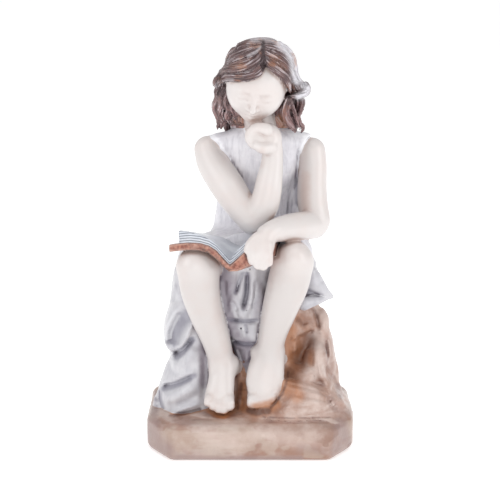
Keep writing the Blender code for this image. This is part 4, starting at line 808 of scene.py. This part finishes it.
def painted_resin():
    mat = bpy.data.materials.new("painted_resin"); mat.use_nodes = True
    P = Paint(mat)
    fine, hollow, wide, proud = P.attr("hollow_fine"), P.attr("hollow"), P.attr("hollow_wide"), P.attr("proud")
    sep = P.node("ShaderNodeSeparateXYZ"); P.set(sep.inputs[0], P.node("ShaderNodeTexCoord").outputs["Object"])
    x, y, z = sep.outputs
    n2, n5, n14, n35 = P.noise(2.2, 4), P.noise(5, 4, seed=1), P.noise(14, 3, seed=2), P.noise(35, 3, seed=3)
    streak = P.noise(3.0, 4, stretch=(1, 1, 0.16), seed=4)
    brush = P.noise(4.0, 4, stretch=(0.16, 0.16, 1), seed=5)
    broken = P.math("ADD", 0.25, P.math("ADD", P.math("MULTIPLY", n5, 0.8), P.math("MULTIPLY", n14, 0.7)))
    daub_mask = {k: P.ramp(P.math("MULTIPLY", P.attr(k), broken), 0.08, 0.95) for k in DAUBS}
    # skin
    blotch = P.ramp(P.math("ADD", n35, P.math("MULTIPLY", n14, 0.4)), 0.62, 0.86)
    skin = P.mix(P.math("MULTIPLY", blotch, 0.35), SKIN, SKIN_WARM)
    # painted shade: a warm darker skin tone inside the arms, under the chin and in creases
    skin = P.mix(P.math("MULTIPLY", daub_mask["warm_shade"], 0.6), skin, SKIN_WARM_SHADE)
    # painted shade: skin darker in its hollows
    skin = P.mix(P.ramp(P.math("ADD", hollow, P.math("MULTIPLY", n5, 0.3)), 0.25, 1.05, 0, 0.6), skin, SKIN_FOLD_SHADE)
    low = P.ramp(P.math("ADD", z, P.math("MULTIPLY", n14, 0.012)), 0.062, 0.036)
    skin = P.mix(P.math("MULTIPLY", P.math("MULTIPLY", low, P.ramp(hollow, 0.05, 0.5)), 0.9), skin, WASH)
    skin = P.mix(P.math("MULTIPLY", P.math("MULTIPLY", daub_mask["wash_orange"], P.ramp(z, 0.053, 0.037)), 0.85), skin, WASH)
    # dark umber, painted shade along the feet's lower edges
    skin = P.mix(daub_mask["umber_and_shade"], skin, UMBER_AND_SHADE)
    # painted shade: skin below the lap is made darker, and the feet lighter again
    skin = P.mix(1.0, skin, P.math("MULTIPLY", P.ramp(z, 0.150, 0.128, 1.0, 0.90), P.ramp(z, 0.075, 0.055, 1.0, 1.10)), "MULTIPLY")
    # dress
    dress = P.mix(P.ramp(n14, 0.35, 0.7), DRESS, DRESS_LIGHT)
    dress = P.mix(P.math("MULTIPLY", P.ramp(streak, 0.46, 0.70), P.ramp(z, 0.140, 0.165, 0.30, 0.60)), dress, DRESS_DARK)
    # mauve paint, with painted shade between the legs and behind the left drape
    dress = P.mix(P.math("MULTIPLY", daub_mask["mauve_and_shade"], 0.8), dress, DRESS_MAUVE_AND_SHADE)
    shade = P.ramp(P.math("ADD", P.math("MULTIPLY", hollow, 0.7), P.math("ADD", P.math("MULTIPLY", fine, 0.6), P.math("MULTIPLY", wide, 0.12))), 0.38, 1.2)
    dress = P.mix(P.math("MULTIPLY", daub_mask["wash_shade"], 0.75), dress, DRESS_SHADE)
    dress = P.mix(P.math("MULTIPLY", shade, 0.88), dress, DRESS_FOLD)
    # painted highlight on the dress's ridges, which also whitens the piping
    dress = P.mix(P.math("MULTIPLY", P.ramp(proud, 0.10, 0.55), 0.7), dress, DRESS_PIPING_AND_HIGHLIGHT)
    # dark umber, painted shade under the hem and between the feet
    dress = P.mix(P.math("MULTIPLY", daub_mask["umber_and_shade"], 0.8), dress, UMBER_AND_SHADE)
    # painted light and shade: the bodice, shaded by the arms and head, is painted lighter, and the skirt darker
    dress = P.mix(1.0, dress, P.ramp(z, 0.128, 0.162, 0.88, 1.22), "MULTIPLY")
    # hair
    run = P.node("ShaderNodeCombineXYZ")
    P.set(run.inputs["X"], P.math("MULTIPLY", P.attr("strand_round"), 1.0)); P.set(run.inputs["Y"], P.math("MULTIPLY", P.attr("strand_along"), 0.07))
    comb = P.node("ShaderNodeTexNoise"); P.set(comb.inputs["Vector"], run.outputs[0])
    comb.inputs["Scale"].default_value = 0.85; comb.inputs["Detail"].default_value = 2.5; comb.inputs["Roughness"].default_value = 0.65
    comb = comb.outputs["Fac"]
    hair = P.mix(P.ramp(n5, 0.3, 0.75), HAIR, HAIR_WARM)
    hair = P.mix(P.math("MULTIPLY", P.ramp(z, 0.262, 0.246), 0.85), hair, HAIR_LOW)
    hair = P.mix(P.ramp(comb, 0.51, 0.40, 0, 0.85), hair, HAIR_DEEP)
    pearl = P.math("MULTIPLY", P.ramp(comb, 0.52, 0.61), P.ramp(n14, 0.38, 0.56, 0.35, 1.0))
    hair = P.mix(P.math("MULTIPLY", pearl, 0.85), hair, HAIR_PEARL)
    # painted shade: hair darker in its hollows, most on the upper head
    hair = P.mix(P.ramp(P.math("ADD", hollow, fine), 0.35, 1.3, 0, P.ramp(z, 0.262, 0.246, 0.80, 0.62)), hair, HAIR_DEEP)
    hair = P.mix(P.math("MULTIPLY", daub_mask["pale_and_highlight"], P.ramp(comb, 0.36, 0.50, 0.72, 1.0)), hair, HAIR_LILAC)
    hair = P.mix(P.math("MULTIPLY", P.math("MULTIPLY", P.ramp(n14, 0.52, 0.66), P.ramp(comb, 0.42, 0.52)), 0.5), hair, WASH)
    hair = P.mix(P.math("MULTIPLY", daub_mask["wash_orange"], 0.7), hair, WASH)
    # dark umber, painted shade in the parting and between the right locks
    hair = P.mix(P.math("MULTIPLY", daub_mask["umber_and_shade"], 0.85), hair, HAIR_DEEP)
    # book
    pages = P.mix(P.ramp(n14, 0.4, 0.7), PAGES, PAGES_LIGHT)
    # painted shade: pages darker in their grooves
    pages = P.mix(P.ramp(P.math("ADD", fine, P.math("MULTIPLY", hollow, 0.5)), 0.3, 1.0, 0, 0.6), pages, PAGES_LINE)
    leaf = P.math("ABSOLUTE", P.math("SUBTRACT", P.math("FRACT", P.attr("page_leaf")), 0.5))
    pages = P.mix(P.math("MULTIPLY", P.math("MULTIPLY", P.ramp(P.attr("page_edge"), 0.3, 0.8), P.ramp(P.attr("page_h"), 1.0, 0.93)), P.ramp(leaf, 0.20, 0.46, 0, 0.95)), pages, PAGES_LINE)
    cover = P.mix(P.ramp(P.math("ADD", P.math("MULTIPLY", n5, 0.6), P.math("MULTIPLY", n2, 0.4)), 0.44, 0.58), COVER, COVER_LIGHT)
    # painted highlight on the cover's proud edges
    cover = P.mix(P.math("MULTIPLY", P.ramp(proud, 0.08, 0.45), 0.7), cover, COVER_HIGHLIGHT)
    # painted shade: cover darker in its hollows
    cover = P.mix(P.ramp(P.math("ADD", hollow, fine), 0.2, 1.0), cover, COVER_DEEP)
    cover = P.mix(P.math("MULTIPLY", daub_mask["wash_line"], 0.85), cover, COVER_DEEP)
    pages = P.mix(P.math("MULTIPLY", daub_mask["wash_line"], 0.5), pages, PAGES_LINE)
    # rock and base
    rock = P.mix(P.ramp(P.math("ADD", P.math("MULTIPLY", n35, 0.8), P.math("MULTIPLY", n5, 0.2)), 0.38, 0.62), ROCK, ROCK_PALE)
    rock = P.mix(P.math("MULTIPLY", P.ramp(brush, 0.44, 0.64), 0.55), rock, ROCK_PINK)
    rock = P.mix(P.math("MULTIPLY", P.ramp(P.math("ADD", P.math("MULTIPLY", n14, 0.6), P.math("MULTIPLY", brush, 0.4)), 0.46, 0.68), 0.45), rock, ROCK_BROWN)
    rock = P.mix(P.math("MULTIPLY", P.ramp(n2, 0.58, 0.74), 0.2), rock, ROCK_BROWN)
    plinth = P.ramp(z, 0.029, 0.024)
    slab = P.noise(26, 3, rough=0.6, stretch=(0.55, 0.55, 1), seed=7)
    rock = P.mix(P.math("MULTIPLY", plinth, P.ramp(slab, 0.485, 0.515, 0, 0.42)), rock, ROCK_STONE)
    rock = P.mix(P.math("MULTIPLY", P.math("MULTIPLY", plinth, P.ramp(slab, 0.44, 0.415)), 0.55), rock, ROCK_BROWN)
    rock = P.mix(1.0, rock, P.ramp(plinth, 0, 1, 1.0, 0.88), "MULTIPLY")
    # painted highlight on the rock's ridges and mound, and pale patches across the base's front
    rock = P.mix(P.math("MULTIPLY", daub_mask["pale_and_highlight"], 0.65), rock, ROCK_PALE)
    # mauve paint, with painted shade at the base's ends and lower edge and in the rock's hollow
    rock = P.mix(P.math("MULTIPLY", daub_mask["mauve_and_shade"], 0.75), rock, ROCK_MAUVE_AND_SHADE)
    # painted highlight: rock paler on its ridges
    rock = P.mix(P.math("MULTIPLY", P.ramp(proud, 0.10, 0.5), 0.65), rock, ROCK_PALE)
    # painted shade: rock darker in its hollows
    rock = P.mix(P.ramp(P.math("ADD", P.math("MULTIPLY", wide, 0.55), P.math("ADD", P.math("MULTIPLY", hollow, 0.7), P.math("MULTIPLY", n5, 0.3))), 0.40, 1.20, 0, 0.9), rock, ROCK_DEEP)
    rock = P.mix(P.math("MULTIPLY", daub_mask["wash_orange"], 0.8), rock, WASH)
    # dark umber paint with painted shade under the hem and feet, between the feet and in the rock's grooves and hollow
    rock = P.mix(P.math("MULTIPLY", daub_mask["umber_and_shade"], 0.8), rock, UMBER_AND_SHADE)
    colour = rock
    wob = P.math("MULTIPLY", P.math("SUBTRACT", P.noise(3.5, 2, seed=9), 0.5), 0.5)
    for name, c in (("dress", dress), ("skin", skin), ("hair", hair), ("pages", pages), ("cover", cover)):
        edge = P.ramp(P.math("ADD", P.attr("in_" + name), wob), -0.12, 0.12)
        colour = P.mix(edge, colour, c)
    b = P.node("ShaderNodeBsdfPrincipled")
    P.set(b.inputs["Base Color"], colour)
    rough = P.math("ADD", P.math("MULTIPLY", n5, 0.16), P.ramp(P.attr("in_rock"), -0.2, 0.2, 0.26, 0.40))
    P.set(b.inputs["Roughness"], rough)
    b.inputs["Coat Weight"].default_value = 0.4; b.inputs["Coat Roughness"].default_value = 0.09
    b.inputs["IOR"].default_value = 1.5
    # brush marks and the casting's slight unevenness
    grain = P.math("ADD", P.math("MULTIPLY", P.math("SUBTRACT", n2, 0.5), P.ramp(P.attr("in_rock"), -0.2, 0.2, 0.05, 0.30)), P.math("MULTIPLY", P.math("SUBTRACT", n5, 0.5), P.ramp(P.attr("in_rock"), -0.2, 0.2, 0.10, 0.45)))
    grain = P.math("ADD", grain, P.math("MULTIPLY", P.math("MULTIPLY", comb, P.ramp(P.attr("in_hair"), -0.1, 0.2)), 1.6))
    bump = P.node("ShaderNodeBump"); bump.inputs["Strength"].default_value = 1.0; bump.inputs["Distance"].default_value = 0.001
    P.set(bump.inputs["Height"], grain); P.set(b.inputs["Normal"], bump.outputs[0])
    out = P.node("ShaderNodeOutputMaterial"); P.set(out.inputs["Surface"], b.outputs[0])
    return mat


# colours: the fold and deep colours and the page line colour also serve as painted shade in hollows; the warm skin
# shade and dress shade are painted shade; the mauve and umber colours are paint with painted shade; the pale dress and
# cover edge colours are painted highlights, the dress one also whitening the piping
SKIN, SKIN_WARM, SKIN_WARM_SHADE, SKIN_FOLD_SHADE = (0.68, 0.635, 0.62), (0.68, 0.58, 0.55), (0.58, 0.43, 0.38), (0.40, 0.25, 0.20)
WASH, UMBER_AND_SHADE = (0.44, 0.18, 0.075), (0.075, 0.025, 0.016)
DRESS, DRESS_LIGHT, DRESS_DARK, DRESS_MAUVE_AND_SHADE, DRESS_FOLD, DRESS_PIPING_AND_HIGHLIGHT, DRESS_SHADE = (0.60, 0.59, 0.63), (0.69, 0.68, 0.71), (0.47, 0.46, 0.50), (0.23, 0.19, 0.24), (0.17, 0.15, 0.19), (0.78, 0.78, 0.81), (0.26, 0.25, 0.31)
HAIR, HAIR_WARM, HAIR_PEARL, HAIR_LILAC, HAIR_DEEP, HAIR_LOW = (0.135, 0.074, 0.076), (0.165, 0.08, 0.07), (0.66, 0.59, 0.62), (0.80, 0.78, 0.83), (0.05, 0.022, 0.026), (0.33, 0.18, 0.175)
PAGES, PAGES_LIGHT, PAGES_LINE = (0.54, 0.57, 0.63), (0.68, 0.71, 0.76), (0.13, 0.14, 0.18)
COVER, COVER_LIGHT, COVER_HIGHLIGHT, COVER_DEEP = (0.20, 0.06, 0.04), (0.42, 0.175, 0.12), (0.60, 0.38, 0.30), (0.05, 0.014, 0.01)
ROCK, ROCK_PALE, ROCK_PINK, ROCK_BROWN, ROCK_MAUVE_AND_SHADE, ROCK_DEEP, ROCK_STONE = (0.36, 0.20, 0.145), (0.60, 0.48, 0.43), (0.47, 0.31, 0.26), (0.25, 0.12, 0.075), (0.28, 0.19, 0.18), (0.155, 0.062, 0.042), (0.56, 0.46, 0.385)

statue = sculpt_mesh()
statue.data.materials.clear()
statue.data.materials.append(painted_resin())
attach(statue, "root")
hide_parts(NODE)


# ---- floor, light and camera
def floor():
    me = bpy.data.meshes.new("floor")
    me.from_pydata([(-30, -30, 0), (30, -30, 0), (30, 30, 0), (-30, 30, 0)], [], [(0, 1, 2, 3)])
    ob = bpy.data.objects.new("floor", me); bpy.context.scene.collection.objects.link(ob)
    ob.location.z = -0.0003
    m = bpy.data.materials.new("studio_floor"); m.use_nodes = True
    b = m.node_tree.nodes["Principled BSDF"]
    b.inputs["Base Color"].default_value = (0.93, 0.93, 0.93, 1); b.inputs["Roughness"].default_value = 0.9
    b.inputs["Specular IOR Level"].default_value = 0.1
    b.inputs["Emission Color"].default_value = (1, 1, 1, 1); b.inputs["Emission Strength"].default_value = 0.42
    me.materials.append(m)


def area(name, at, size, power, colour=(1, 1, 1)):
    l = bpy.data.lights.new(name, "AREA"); l.shape = "RECTANGLE"; l.size, l.size_y = size; l.energy = power; l.color = colour
    o = bpy.data.objects.new(name, l); bpy.context.scene.collection.objects.link(o)
    o.location = at; o.rotation_euler = (Vector((0, 0, 0.16)) - Vector(at)).to_track_quat("-Z", "Y").to_euler()
    return o


floor()
area("softbox_left", (-1.1, -0.75, 0.85), (0.9, 1.2), 5.4)
area("softbox_front", (0.1, -1.7, 0.45), (1.2, 0.8), 3.3)
area("softbox_right", (1.2, -0.55, 0.55), (0.7, 1.1), 4.5)
area("softbox_top", (0.0, -0.3, 1.6), (1.2, 1.2), 4.5)
world = bpy.data.worlds.new("studio"); bpy.context.scene.world = world; world.use_nodes = True
world.node_tree.nodes["Background"].inputs["Color"].default_value = (1.0, 1.0, 1.0, 1)
world.node_tree.nodes["Background"].inputs["Strength"].default_value = 0.64

cam = bpy.data.cameras.new("camera"); camera = bpy.data.objects.new("camera", cam)
bpy.context.scene.collection.objects.link(camera); bpy.context.scene.camera = camera
camera.location = tuple((EYE + SHIFT) / 1000)
camera.rotation_euler = Vector(VIEW).to_track_quat("-Z", "Y").to_euler()
cam.sensor_width, cam.lens = 36.0, CAM_F * 36 / 500
cam.shift_y = -(250 - CAM_V0) / 500
cam.clip_start, cam.clip_end = 0.05, 100
bpy.context.scene.view_settings.view_transform = "Standard"
bpy.context.scene.view_settings.look = "None"

print("triangles", sum(len(p.vertices) - 2 for p in statue.data.polygons))
